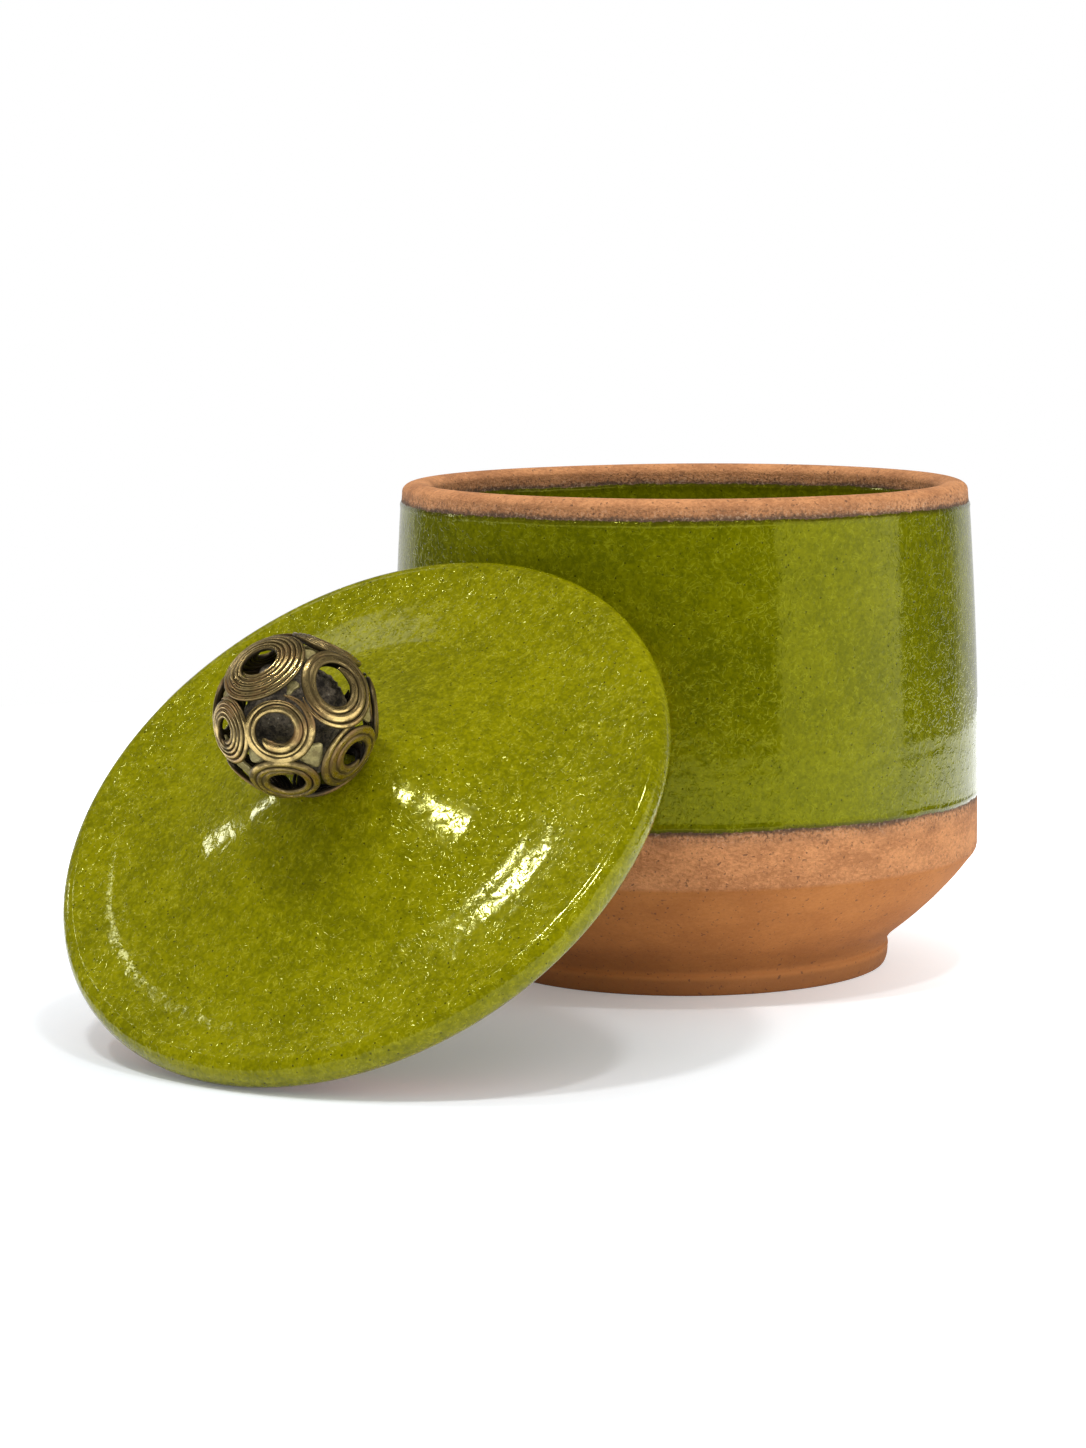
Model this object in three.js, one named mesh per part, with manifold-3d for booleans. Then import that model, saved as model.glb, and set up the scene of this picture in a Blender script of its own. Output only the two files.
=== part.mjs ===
// Lidded jar: a thrown terracotta pot with a green glaze, its loose lid leaning on the wall.
// The lid's knob is an openwork ball of fourteen wire coils, held by one screw from beneath.
// Millimetres, +Z up. The origin is the centre of the jar's flat foot.
import * as THREE from 'three';
import { mergeVertices } from 'three/addons/utils/BufferGeometryUtils.js';
import Module from 'manifold-3d';

const wasm = await Module();
wasm.setup();

// Jar
const jarHeight = 123.5;
const jarRadius = 75.0;         // widest, at the shoulder above the foot
const rimRadius = 71.95;        // outside, where the rim starts to round over
const jarWall = 8.0;
const rimCrown = 2.5;           // height of the rim's rounding
const shoulderHeight = 29.6;    // where the wall turns in towards the foot
const shoulderRound = 1.6;
const coneSwell = 1.4;          // how far the cone under the shoulder bellies out
const footRadius = 52.0;
const footHeight = 5.2;
const footBevel = 1.2;
const grooveDepth = 0.6;        // the groove that sets the foot off from the cone
const grooveRun = 2.9;          // the sweep from the groove out to the cone
const grooveRise = 4.6;
const floorThickness = 10.0;
const insideCorner = 44.0;      // the sweep from the wall to the floor keeps the wall's thickness by the cone

// Lid
const lidRadius = 75.9;
const lidEdge = 8.4;            // thickness of the rounded edge
const lidHeight = 21.6;         // from the seat to the flat under the knob
const lidWall = 7.8;
const crownMargin = 0.3;        // the small flat under the knob is this much wider than the pad below it
const brimInner = 64.0;         // where the cone runs out into the brim
const brimDip = 0.5;            // the brim is this much lower there than at its edge
const flangeDepth = 9.0;        // the ring under the lid that keeps it on the mouth
const flangeWidth = 5.5;
const flangeClearance = 1.9;    // each side, in the mouth
const flangeDraft = 0.6;

// Knob
const knobRadius = 18.3;
const wireRadius = 0.42;
const coilGap = 0.42;           // least room between the rounds of a coil
const coilStep = 0.18;          // share of a round in which the wire steps out to the next
const knobLean = 9.0;           // degrees: the ball was fixed a little askew
const knobLeanToward = 56.7;
const knobSpin = 68.9;
const fillerRoom = 3.8;         // from the dark filler to the coils round it
const fillerLip = 1.0;
const fillerFoot = 7.0;         // radius of the filler where it stands on the base coil
const webStretch = 1.6;         // a web's tips are this many times further out than its waist
const webTip = 0.25;            // half the width of a tip
const webThickness = 1.0;
const webLeast = 1.1;           // a corner whose web would be smaller than this stays bare

// The coils were set by hand. For each: degrees from the ball's pole, degrees round it, how many
// degrees of the ball the coil spreads to each side of its middle, and the radius of its hole in mm.
const coilTable = {
  knob_coil_top: [5.7, 172.6, 28.8, 4.0],
  knob_coil_upper_1: [71.3, 30.5, 25.0, 4.2],
  knob_coil_upper_2: [57.7, 89.0, 20.8, 2.7],
  knob_coil_upper_3: [60.5, 144.4, 22.5, 4.2],
  knob_coil_upper_4: [65.9, 205.0, 25.3, 4.4],
  knob_coil_upper_5: [61.9, 266.4, 25.6, 4.0],
  knob_coil_upper_6: [56.0, 331.9, 25.0, 4.3],
  knob_coil_lower_1: [118.5, 66.4, 26.5, 3.8],
  knob_coil_lower_2: [107.2, 124.7, 24.0, 3.6],
  knob_coil_lower_3: [115.7, 182.9, 25.1, 3.4],
  knob_coil_lower_4: [118.0, 244.4, 25.4, 4.2],
  knob_coil_lower_5: [108.1, 303.2, 24.9, 4.4],
  knob_coil_lower_6: [120.4, 1.2, 24.9, 4.0],
  knob_coil_base: [180, 0, 30.6, 4.3],
};

// Fixing
const screwRadius = 2.0;
const screwHeadRadius = 4.1;
const screwHeadHeight = 2.4;
const screwHeadBevel = 0.9;
const screwTipBevel = 0.5;
const slotWidth = 1.1;
const slotDepth = 1.2;
const screwHole = 2.6;
const nutFlats = 7.0;
const nutHeight = 3.2;
const washerRadius = 6.0;
const washerThickness = 0.8;
const padRadius = 7.2;
const padThickness = 1.2;
const padMargin = 1.6;          // the flat under the lid is this much wider than the pad

// Fits and the pose in which the lid was left
const clearance = 0.3;
const leanTilt = 43.4;          // degrees from lying flat
const leanTwist = 3.0;          // degrees off a straight lean at the jar's axis

// Fineness
const roundSteps = 60;
const coilSteps = 16;
const wireSides = 6;

const clay = new THREE.MeshStandardMaterial({ color: 0xb9713f, roughness: 0.85 });
const glaze = new THREE.MeshStandardMaterial({ color: 0x6f7400, roughness: 0.18 });
const brass = new THREE.MeshStandardMaterial({ color: 0x7a6238, roughness: 0.42, metalness: 0.9 });
const solder = new THREE.MeshStandardMaterial({ color: 0x9a9464, roughness: 0.6, metalness: 0.7 });
const putty = new THREE.MeshStandardMaterial({ color: 0x2c2a22, roughness: 0.9 });
const steel = new THREE.MeshStandardMaterial({ color: 0xa9abad, roughness: 0.35, metalness: 1.0 });
const fibre = new THREE.MeshStandardMaterial({ color: 0x6d3b2a, roughness: 0.8 });

const degrees = THREE.MathUtils.degToRad;
const point = (x, y) => new THREE.Vector2(x, y);

function arcPoints(cx, cy, rx, ry, fromAngle, toAngle, steps) {
  const points = [];
  for (let i = 0; i <= steps; i += 1) {
    const a = degrees(fromAngle + ((toAngle - fromAngle) * i) / steps);
    points.push(point(cx + rx * Math.cos(a), cy + ry * Math.sin(a)));
  }
  return points;
}

function piece(name, geometry, material) {
  const mesh = new THREE.Mesh(geometry, material);
  mesh.name = name;
  return mesh;
}

// A profile that closes on itself, turned round the axis: a ring with a bore.
function turnedRing(profile, steps = roundSteps) {
  return new THREE.LatheGeometry([...profile, profile[0].clone()], steps);
}

function solidOf(geometry) {
  const bare = geometry.clone();
  bare.deleteAttribute('normal');
  bare.deleteAttribute('uv');
  const merged = mergeVertices(bare, 1e-5);
  const vertProperties = new Float32Array(merged.attributes.position.array);
  const triVerts = new Uint32Array(merged.index.array);
  return new wasm.Manifold(new wasm.Mesh({ numProp: 3, vertProperties, triVerts }));
}

function geometryOf(solid) {
  const mesh = solid.getMesh();
  const geometry = new THREE.BufferGeometry();
  geometry.setAttribute('position', new THREE.BufferAttribute(mesh.vertProperties, 3));
  geometry.setIndex(new THREE.BufferAttribute(mesh.triVerts, 1));
  return geometry;
}

// The wall draws in from the shoulder to the rim, slowly at first.
const rimStart = jarHeight - rimCrown;

function wallRadiusAt(z) {
  const t = THREE.MathUtils.clamp((z - shoulderHeight) / (rimStart - shoulderHeight), 0, 1);
  return jarRadius - (jarRadius - rimRadius) * t * t;
}

const mouthRadius = rimRadius - jarWall;

function jarGeometry() {
  const groove = point(footRadius - grooveDepth, footHeight);
  const shoulder = point(jarRadius, shoulderHeight);
  const coneFoot = point(footRadius + grooveRun, footHeight + grooveRise);
  const coneMiddle = coneFoot.clone().lerp(shoulder, 0.5).add(point(coneSwell, -coneSwell));
  const coneEnd = point(shoulder.x - shoulderRound, shoulder.y - shoulderRound);

  const profile = [point(0, 0)];
  profile.push(...new THREE.CubicBezierCurve(
    point(footRadius - footBevel, 0), point(footRadius, 0), point(footRadius + grooveDepth, footHeight), groove,
  ).getPoints(5));
  profile.push(...new THREE.QuadraticBezierCurve(
    groove, point(footRadius, footHeight + grooveRise / 2), coneFoot,
  ).getPoints(3).slice(1));
  profile.push(...new THREE.QuadraticBezierCurve(coneFoot, coneMiddle, coneEnd).getPoints(5).slice(1));
  profile.push(...new THREE.QuadraticBezierCurve(
    coneEnd, shoulder, point(wallRadiusAt(shoulder.y + shoulderRound), shoulder.y + shoulderRound),
  ).getPoints(3).slice(1));
  for (let i = 1; i <= 5; i += 1) {
    const z = THREE.MathUtils.lerp(shoulderHeight + shoulderRound, rimStart, i / 5);
    profile.push(point(wallRadiusAt(z), z));
  }
  const rimMiddle = rimRadius - jarWall / 2;
  profile.push(...arcPoints(rimMiddle, rimStart, jarWall / 2, rimCrown, 0, 180, 8).slice(1));

  const insideLow = floorThickness + insideCorner;
  for (let i = 1; i <= 3; i += 1) {
    const z = THREE.MathUtils.lerp(rimStart, insideLow, i / 3);
    profile.push(point(wallRadiusAt(z) - jarWall, z));
  }
  const insideWall = wallRadiusAt(insideLow) - jarWall;
  profile.push(...new THREE.QuadraticBezierCurve(
    point(insideWall, insideLow), point(insideWall, floorThickness),
    point(insideWall - insideCorner, floorThickness),
  ).getPoints(8).slice(1));
  profile.push(point(0, floorThickness));
  return new THREE.LatheGeometry(profile, roundSteps);
}

// Lid coordinates: Z is the lid's axis, and Z = 0 is the face that rests on the rim.
const edgeHalf = lidEdge / 2;
const brimTop = lidEdge - brimDip;

function flareBetween(inner, outer) {
  const reach = outer.x - inner.x;
  const drop = inner.y - outer.y;
  return new THREE.CubicBezierCurve(
    inner,
    point(inner.x + reach * 0.30, inner.y - drop * 0.34),
    point(inner.x + reach * 0.52, outer.y),
    outer,
  );
}

const lidTop = flareBetween(point(padRadius + crownMargin, lidHeight), point(brimInner, brimTop));

function lidGeometry() {
  const flangeOut = mouthRadius - flangeClearance;
  const flangeIn = flangeOut - flangeWidth;
  const under = lidHeight - lidWall;

  const profile = [point(screwHole, under), point(padRadius + padMargin, under)];
  const hollow = flareBetween(profile[1], point(flangeIn, brimTop - lidWall));
  profile.push(...hollow.getPoints(6).slice(1));
  profile.push(point(flangeIn + flangeDraft, -flangeDepth));
  profile.push(point(flangeOut - flangeDraft, -flangeDepth), point(flangeOut, 0));
  profile.push(...arcPoints(lidRadius - edgeHalf, edgeHalf, edgeHalf, edgeHalf, -90, 90, 8));
  profile.push(...lidTop.getPoints(8).reverse());
  profile.push(point(screwHole, lidHeight));
  return turnedRing(profile);
}

// Every coil is flat, and the middle of its outer round of wire lies on a ball of this radius.
const reachToWire = knobRadius - wireRadius;

const coilPlaces = Object.entries(coilTable).map(([name, [polar, around, spread, hole]]) => {
  const [p, a, half] = [polar, around, spread].map(degrees);
  return {
    name,
    hole,
    half,
    direction: new THREE.Vector3(Math.sin(p) * Math.cos(a), Math.sin(p) * Math.sin(a), Math.cos(p)),
    outer: reachToWire * Math.sin(half),
    plane: reachToWire * Math.cos(half),
  };
});
const baseCoil = coilPlaces.at(-1);

coilPlaces.forEach((a) => {
  const gaps = coilPlaces.filter((b) => b !== a).map((b) => {
    const between = a.direction.angleTo(b.direction) - a.half - b.half;
    return 2 * reachToWire * Math.sin(between / 2) - 2 * wireRadius;
  });
  console.log(`${a.name}: ${Math.min(...gaps).toFixed(3)} mm from the nearest other coil`);
});

// A flat coil winds out from its hole in as many rounds as have room. Each round lies on a circle
// and then steps out to the next.
class CoilCurve extends THREE.Curve {
  constructor(hole, outer) {
    super();
    this.inner = hole + wireRadius;
    const steps = Math.floor((outer - this.inner) / (2 * wireRadius + coilGap));
    this.pitch = (outer - this.inner) / steps;
    this.rounds = steps + 1 - coilStep;
  }

  getPoint(t, target = new THREE.Vector3()) {
    const turned = t * this.rounds;
    const whole = Math.floor(turned + 1e-9);
    const stepped = THREE.MathUtils.clamp((turned - whole - (1 - coilStep)) / coilStep, 0, 1);
    const radius = this.inner + this.pitch * (whole + stepped);
    const angle = 2 * Math.PI * turned;
    return target.set(radius * Math.cos(angle), radius * Math.sin(angle), 0);
  }
}

// One unbroken tube that follows a flat curve. Its rings stand square to the curve.
function wireGeometry(curve, steps, sides, radius) {
  const positions = [];
  const faces = [];
  const up = new THREE.Vector3(0, 0, 1);
  for (let i = 0; i <= steps; i += 1) {
    const t = i / steps;
    const here = curve.getPoint(t);
    const ahead = curve.getPoint(Math.min(t + 0.25 / steps, 1));
    const behind = curve.getPoint(Math.max(t - 0.25 / steps, 0));
    const side = ahead.sub(behind).normalize().cross(up);
    for (let k = 0; k < sides; k += 1) {
      const a = (2 * Math.PI * k) / sides;
      positions.push(
        here.x + radius * side.x * Math.cos(a),
        here.y + radius * side.y * Math.cos(a),
        here.z + radius * Math.sin(a),
      );
    }
  }
  for (let i = 0; i < steps; i += 1) {
    for (let k = 0; k < sides; k += 1) {
      const next = (k + 1) % sides;
      const [a, b] = [i * sides + k, i * sides + next];
      faces.push(a, a + sides, b, b, a + sides, b + sides);
    }
  }
  const last = steps * sides;
  for (let k = 1; k < sides - 1; k += 1) {
    faces.push(0, k, k + 1);
    faces.push(last, last + k + 1, last + k);
  }
  const geometry = new THREE.BufferGeometry();
  geometry.setAttribute('position', new THREE.Float32BufferAttribute(positions, 3));
  geometry.setIndex(faces);
  geometry.computeVertexNormals();
  return geometry;
}

// The least gap between the rounds of a coil, measured on points along its wire.
function leastGapIn(curve) {
  const count = 900;
  const points = Array.from({ length: count + 1 }, (_, i) => curve.getPoint(i / count));
  const halfRound = Math.ceil((count / curve.rounds) * 0.5);
  let least = Infinity;
  for (let i = 0; i <= count; i += 1) {
    for (let j = i + halfRound; j <= count; j += 1) {
      least = Math.min(least, points[i].distanceTo(points[j]));
    }
  }
  return least - 2 * wireRadius;
}

// The ball leans, so the coil at its base has a wider hole to let the upright screw through.
const baseHole = baseCoil.plane * Math.sin(degrees(knobLean)) + screwRadius + 2 * clearance;

function coilMesh(place) {
  const { name, direction, outer, plane } = place;
  const curve = new CoilCurve(place === baseCoil ? Math.max(baseHole, place.hole) : place.hole, outer);
  const steps = Math.round(curve.rounds * coilSteps);
  console.log(`${name}: ${curve.rounds.toFixed(2)} rounds out to ${(outer + wireRadius).toFixed(2)} mm, `
    + `least gap between its rounds ${leastGapIn(curve).toFixed(3)} mm`);
  const mesh = piece(name, wireGeometry(curve, steps, wireSides, wireRadius), brass);
  mesh.position.copy(direction).multiplyScalar(plane);
  mesh.quaternion.setFromUnitVectors(new THREE.Vector3(0, 0, 1), direction);
  return mesh;
}

// Brazing left webs in the corners between three coils. None is at the base, and these are bare:
const bareCorners = [
  'knob_coil_top knob_coil_upper_2 knob_coil_upper_3',
  'knob_coil_upper_3 knob_coil_upper_4 knob_coil_lower_3',
];

// Three coils share a corner if no other coil's middle is nearer to it than theirs. Where two corners
// run into one, it has one web.
function webPlaces() {
  const places = [];
  coilPlaces.forEach((a, i) => coilPlaces.slice(i + 1).forEach((b, j) => {
    coilPlaces.slice(i + j + 2).forEach((c) => {
      const across = b.direction.clone().sub(a.direction).cross(c.direction.clone().sub(a.direction));
      const outward = Math.sign(across.dot(a.direction));
      const middle = across.normalize().multiplyScalar(outward);
      const coils = outward > 0 ? [a, b, c] : [a, c, b];
      const near = middle.dot(a.direction);
      const shared = coilPlaces.every((d) => coils.includes(d) || d.direction.dot(middle) < near);
      const bare = coils.includes(baseCoil)
        || bareCorners.includes([a, b, c].map(({ name }) => name).join(' '));
      const corner = { middle, coils };
      const reach = webReach(corner);
      const apart = places.every((other) => (
        reachToWire * other.middle.angleTo(middle) > reach + webReach(other) + clearance
      ));
      if (shared && !bare && apart && reach > webLeast) places.push(corner);
    });
  }));
  return places;
}

// How far a corner's web can reach towards each of its coils
function waistsOf({ middle, coils }) {
  const far = middle.angleTo(coils[0].direction);
  return coils.map(({ half }) => reachToWire * Math.sin(far - half) - wireRadius - clearance);
}

function webReach(corner) {
  return webStretch * Math.min(...waistsOf(corner));
}

// A web has a blunt tip that runs in between each two of its coils, and a hollow side along each.
function webMesh({ middle, coils }, i) {
  const far = middle.angleTo(coils[0].direction);
  const flatDirection = (v) => v.clone().addScaledVector(middle, -v.dot(middle)).normalize();
  const x = flatDirection(coils[0].direction);
  const y = middle.clone().cross(x);
  const inPlane = (v) => point(flatDirection(v).dot(x), flatDirection(v).dot(y));
  const waists = waistsOf({ middle, coils });
  const height = reachToWire * Math.min(...coils.map(({ half }) => Math.cos(far - half)));
  const reach = webReach({ middle, coils });
  const tips = coils.map(({ direction }, k) => {
    const along = inPlane(direction.clone().add(coils[(k + 1) % 3].direction));
    const side = point(-along.y, along.x).multiplyScalar(webTip);
    return [along.clone().multiplyScalar(reach).sub(side), along.multiplyScalar(reach).add(side)];
  });
  const shape = new THREE.Shape([tips[0][0]]);
  tips.forEach((tip, k) => {
    const next = tips[(k + 1) % 3][0];
    const side = inPlane(coils[(k + 1) % 3].direction).multiplyScalar(2 * waists[(k + 1) % 3]);
    const bend = side.sub(tip[1].clone().add(next).multiplyScalar(0.5));
    shape.lineTo(tip[1].x, tip[1].y);
    shape.quadraticCurveTo(bend.x, bend.y, next.x, next.y);
  });
  const flat = new THREE.ExtrudeGeometry(shape, {
    depth: webThickness, bevelEnabled: false, curveSegments: 3,
  }).translate(0, 0, height - webThickness);
  const mesh = piece(`knob_web_${i + 1}`, flat, solder);
  mesh.quaternion.setFromRotationMatrix(new THREE.Matrix4().makeBasis(x, y, middle));
  return mesh;
}

// How the ball stands on the lid: leaning, and turned round its own pole
const knobTurn = new THREE.Quaternion()
  .setFromAxisAngle(new THREE.Vector3(0, 0, 1), degrees(knobLeanToward))
  .multiply(new THREE.Quaternion().setFromAxisAngle(new THREE.Vector3(0, 1, 0), degrees(knobLean)))
  .multiply(new THREE.Quaternion().setFromAxisAngle(
    new THREE.Vector3(0, 0, 1), degrees(knobSpin - knobLeanToward),
  ));

// Height of the lid's top at a distance from its axis
const lidTopPoints = lidTop.getPoints(400);

function lidTopAt(radius) {
  const inside = lidTopPoints.filter(({ x }) => x <= radius);
  return inside.length ? inside.at(-1).y : lidHeight;
}

// How high the ball's centre must be for one point of the base coil to clear the lid
function centreOver(radius, angle) {
  const spot = new THREE.Vector3(radius * Math.cos(angle), radius * Math.sin(angle), -baseCoil.plane);
  spot.applyQuaternion(knobTurn);
  return lidTopAt(Math.hypot(spot.x, spot.y)) - spot.z;
}

// Heights along the lid's axis of everything that the screw holds. The ball rests on its base coil.
const baseSpots = [];
for (let i = 0; i <= 10; i += 1) {
  const radius = THREE.MathUtils.lerp(baseHole, baseCoil.outer, i / 10);
  for (let k = 0; k < 72; k += 1) baseSpots.push(centreOver(radius, degrees(5 * k)));
}
const knobCentre = Math.max(...baseSpots) + wireRadius + clearance;
const padTop = lidHeight - lidWall - clearance;
const washerTop = padTop - padThickness - clearance;
const headTop = washerTop - washerThickness - clearance;
const insideCoils = Math.min(...coilPlaces.map(({ plane }) => plane)) - wireRadius - clearance;
const fillerRadius = insideCoils - fillerRoom;
const coreRadius = fillerRadius - fillerLip - clearance;
const nutBottom = knobCentre - insideCoils + clearance;
const screwTip = knobCentre - coreRadius - 2 * clearance;
const nutCorner = nutFlats / Math.sqrt(3);
const nutRoom = nutCorner + clearance;

// Dark filler packed into the foot of the ball: it lies on the base coil, has a hollow for the core,
// and the upright nut and screw stand in a bore through it.
function fillerGeometry() {
  const cup = coreRadius + clearance;
  const lipHeight = -cup / 3;
  const lipAngle = THREE.MathUtils.radToDeg(Math.asin(lipHeight / cup));
  const profile = [point(0, -insideCoils)];
  profile.push(...new THREE.QuadraticBezierCurve(
    point(fillerFoot, -insideCoils), point(fillerRadius, -0.8 * insideCoils), point(fillerRadius, lipHeight),
  ).getPoints(4));
  profile.push(...arcPoints(0, 0, cup, cup, lipAngle, -90, 6));
  const lump = onAxisZ(new THREE.LatheGeometry(profile, 20));
  const bore = onAxisZ(new THREE.CylinderGeometry(nutRoom, nutRoom, 3 * insideCoils, 20));
  bore.applyQuaternion(knobTurn.clone().invert());
  return geometryOf(solidOf(lump).subtract(solidOf(bore)));
}

function screwGeometry() {
  const headBottom = headTop - screwHeadHeight;
  const profile = [
    point(0, headBottom), point(screwHeadRadius - screwHeadBevel, headBottom),
    point(screwHeadRadius, headBottom + screwHeadBevel), point(screwHeadRadius, headTop),
    point(screwRadius, headTop), point(screwRadius, screwTip - screwTipBevel),
    point(screwRadius - screwTipBevel, screwTip), point(0, screwTip),
  ];
  const slot = new THREE.BoxGeometry(3 * screwHeadRadius, slotWidth, 2 * slotDepth);
  slot.translate(0, 0, headBottom);
  return geometryOf(solidOf(onAxisZ(new THREE.LatheGeometry(profile, 20))).subtract(solidOf(slot)));
}

function nutGeometry() {
  const outline = new THREE.Shape();
  for (let i = 0; i < 6; i += 1) {
    const a = degrees(60 * i);
    const corner = point(Math.cos(a), Math.sin(a)).multiplyScalar(nutCorner);
    if (i === 0) outline.moveTo(corner.x, corner.y);
    else outline.lineTo(corner.x, corner.y);
  }
  outline.holes.push(new THREE.Path().absarc(0, 0, screwRadius + clearance, 0, 2 * Math.PI, true));
  const nut = new THREE.ExtrudeGeometry(outline, {
    depth: nutHeight, bevelEnabled: false, curveSegments: 8,
  });
  return nut.translate(0, 0, nutBottom);
}

function washerGeometry(radius, thickness, top) {
  return turnedRing([
    point(screwRadius + clearance, top - thickness), point(radius, top - thickness),
    point(radius, top), point(screwRadius + clearance, top),
  ], 24);
}

// A lathe turns round Y: lay its axis along Z.
function onAxisZ(geometry) {
  return geometry.rotateX(Math.PI / 2);
}

const jar = piece('jar_body', onAxisZ(jarGeometry()), clay);

const knob = new THREE.Group();
knob.position.z = knobCentre;
knob.quaternion.copy(knobTurn);
coilPlaces.forEach((place) => knob.add(coilMesh(place)));
webPlaces().forEach((place, i) => knob.add(webMesh(place, i)));
knob.add(piece('knob_filler', fillerGeometry(), putty));

const core = piece('knob_core', new THREE.SphereGeometry(coreRadius, 20, 12), putty);
core.position.z = knobCentre;

const lid = new THREE.Group();
lid.add(piece('lid_body', onAxisZ(lidGeometry()), glaze));
lid.add(knob, core);
lid.add(piece('fixing_nut', nutGeometry(), steel));
lid.add(piece('fixing_screw', screwGeometry(), steel));
lid.add(piece('fixing_washer', onAxisZ(washerGeometry(washerRadius, washerThickness, washerTop)), steel));
lid.add(piece('fixing_pad', onAxisZ(washerGeometry(padRadius, padThickness, padTop)), fibre));

// The lid leans back on the wall: it stands on the floor by its edge, and is slid towards the jar
// until the edge comes within the clearance of the wall. The knob stays in the plane Y = 0.
lid.rotation.set(0, degrees(-leanTilt), degrees(leanTwist), 'ZYX');

function edgeRing() {
  return arcPoints(0, 0, lidRadius - edgeHalf, lidRadius - edgeHalf, 0, 360, 720)
    .map(({ x, y }) => new THREE.Vector3(x, y, edgeHalf).applyEuler(lid.rotation));
}

const edge = edgeRing();
const knobOffset = new THREE.Vector3(0, 0, knobCentre).applyEuler(lid.rotation);
lid.position.y = -knobOffset.y;
lid.position.z = clearance + edgeHalf - Math.min(...edge.map(({ z }) => z));

function gapToWall(x) {
  const gaps = edge.map((e) => {
    const z = e.z + lid.position.z;
    return Math.hypot(e.x + x, e.y + lid.position.y) - wallRadiusAt(z) - edgeHalf;
  });
  return Math.min(...gaps) - clearance;
}

let near = -jarRadius;
let far = -(jarRadius + 3 * lidRadius);
for (let i = 0; i < 60; i += 1) {
  const middle = (near + far) / 2;
  if (gapToWall(middle) > 0) far = middle;
  else near = middle;
}
lid.position.x = far;

const centre = lid.position.clone().add(knobOffset);
const axis = new THREE.Vector3(0, 0, 1).applyEuler(lid.rotation);
console.log(`ball centre ${centre.toArray().map((v) => v.toFixed(4))}, height over seat ${knobCentre.toFixed(4)}`);
console.log(`lid axis ${axis.toArray().map((v) => v.toFixed(7))}`);

const object = new THREE.Group();
object.add(jar, lid);

export default object;
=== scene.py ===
# %% [markdown]
# # A green-glazed jar with its lid leaning on it
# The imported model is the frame: it holds every piece at its real place and size, and says how the
# lid moves. This lesson dresses it. Each piece gets the form and the finish of the real one: thrown
# clay, a glossy glaze that stops at wavy lines, and a brass ball wound from wire.

# %% The frame
import math

import bpy
import numpy as np
from mathutils import Matrix, Vector


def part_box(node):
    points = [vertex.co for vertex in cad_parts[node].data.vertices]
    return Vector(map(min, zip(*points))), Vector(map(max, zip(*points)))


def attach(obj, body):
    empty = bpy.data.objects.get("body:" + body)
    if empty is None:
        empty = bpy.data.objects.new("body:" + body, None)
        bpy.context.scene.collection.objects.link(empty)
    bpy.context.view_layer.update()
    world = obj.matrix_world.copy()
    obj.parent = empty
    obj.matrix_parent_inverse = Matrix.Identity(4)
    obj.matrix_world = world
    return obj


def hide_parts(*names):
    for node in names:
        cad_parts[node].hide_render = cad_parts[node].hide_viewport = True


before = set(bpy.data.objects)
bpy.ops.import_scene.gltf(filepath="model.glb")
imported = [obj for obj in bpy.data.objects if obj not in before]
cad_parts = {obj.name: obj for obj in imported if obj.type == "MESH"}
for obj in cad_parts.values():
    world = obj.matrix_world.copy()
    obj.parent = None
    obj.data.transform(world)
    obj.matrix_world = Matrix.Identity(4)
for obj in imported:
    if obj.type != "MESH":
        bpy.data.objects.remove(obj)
scene = bpy.context.scene
scene.view_settings.view_transform = "Standard"
MM = 0.001
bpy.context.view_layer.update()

# %% [markdown]
# ## The camera
# The photo was taken from a little above the table with a long lens. The camera stands where the
# circles of the rim, the shoulder and the foot look as they do in the photo.

# %% Camera
LENS = 94.6
SENSOR = 36.0
CAMERA_PLACE = (-0.79878, -0.54648, 0.18588)
CAMERA_TURNS = ((-53.47, "Z"), (82.637, "X"), (-0.374, "Z"))
lens = bpy.data.cameras.new("studio_camera")
lens.lens = LENS
lens.sensor_width = SENSOR
camera = bpy.data.objects.new("studio_camera", lens)
scene.collection.objects.link(camera)
camera_turn = Matrix.Identity(3)
for degrees, about in CAMERA_TURNS:
    camera_turn = camera_turn @ Matrix.Rotation(math.radians(degrees), 3, about)
camera.matrix_world = Matrix.Translation(CAMERA_PLACE) @ camera_turn.to_4x4()
scene.camera = camera
VIEW_RIGHT = camera_turn @ Vector((1, 0, 0))
VIEW_UP = camera_turn @ Vector((0, 1, 0))
print("camera at", [round(c, 3) for c in camera.location])

# %% [markdown]
# ## Maths on sockets
# A finish is a sum of small facts: a speck here, a darker pool there. Wiring each sum by hand hides
# what it says, so a socket is wrapped in a class whose operators add the Math nodes.


# %% Socket maths
class Field:
    """A value that varies over a surface."""

    def __init__(self, paint, socket):
        self.paint = paint
        self.socket = socket

    def __add__(self, other):
        return self.paint.math("ADD", self, other)

    def __sub__(self, other):
        return self.paint.math("SUBTRACT", self, other)

    def __mul__(self, other):
        return self.paint.math("MULTIPLY", self, other)

    def __radd__(self, other):
        return self.paint.math("ADD", other, self)

    def __rsub__(self, other):
        return self.paint.math("SUBTRACT", other, self)

    def __rmul__(self, other):
        return self.paint.math("MULTIPLY", other, self)


# %% [markdown]
# Every other node comes from one method, `add`, that sets a node's type, its settings and its sockets.
# The short methods after it name the few nodes that this jar needs, with sizes in mm, so that a finish
# can be read without knowing Blender's node names.


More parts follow.
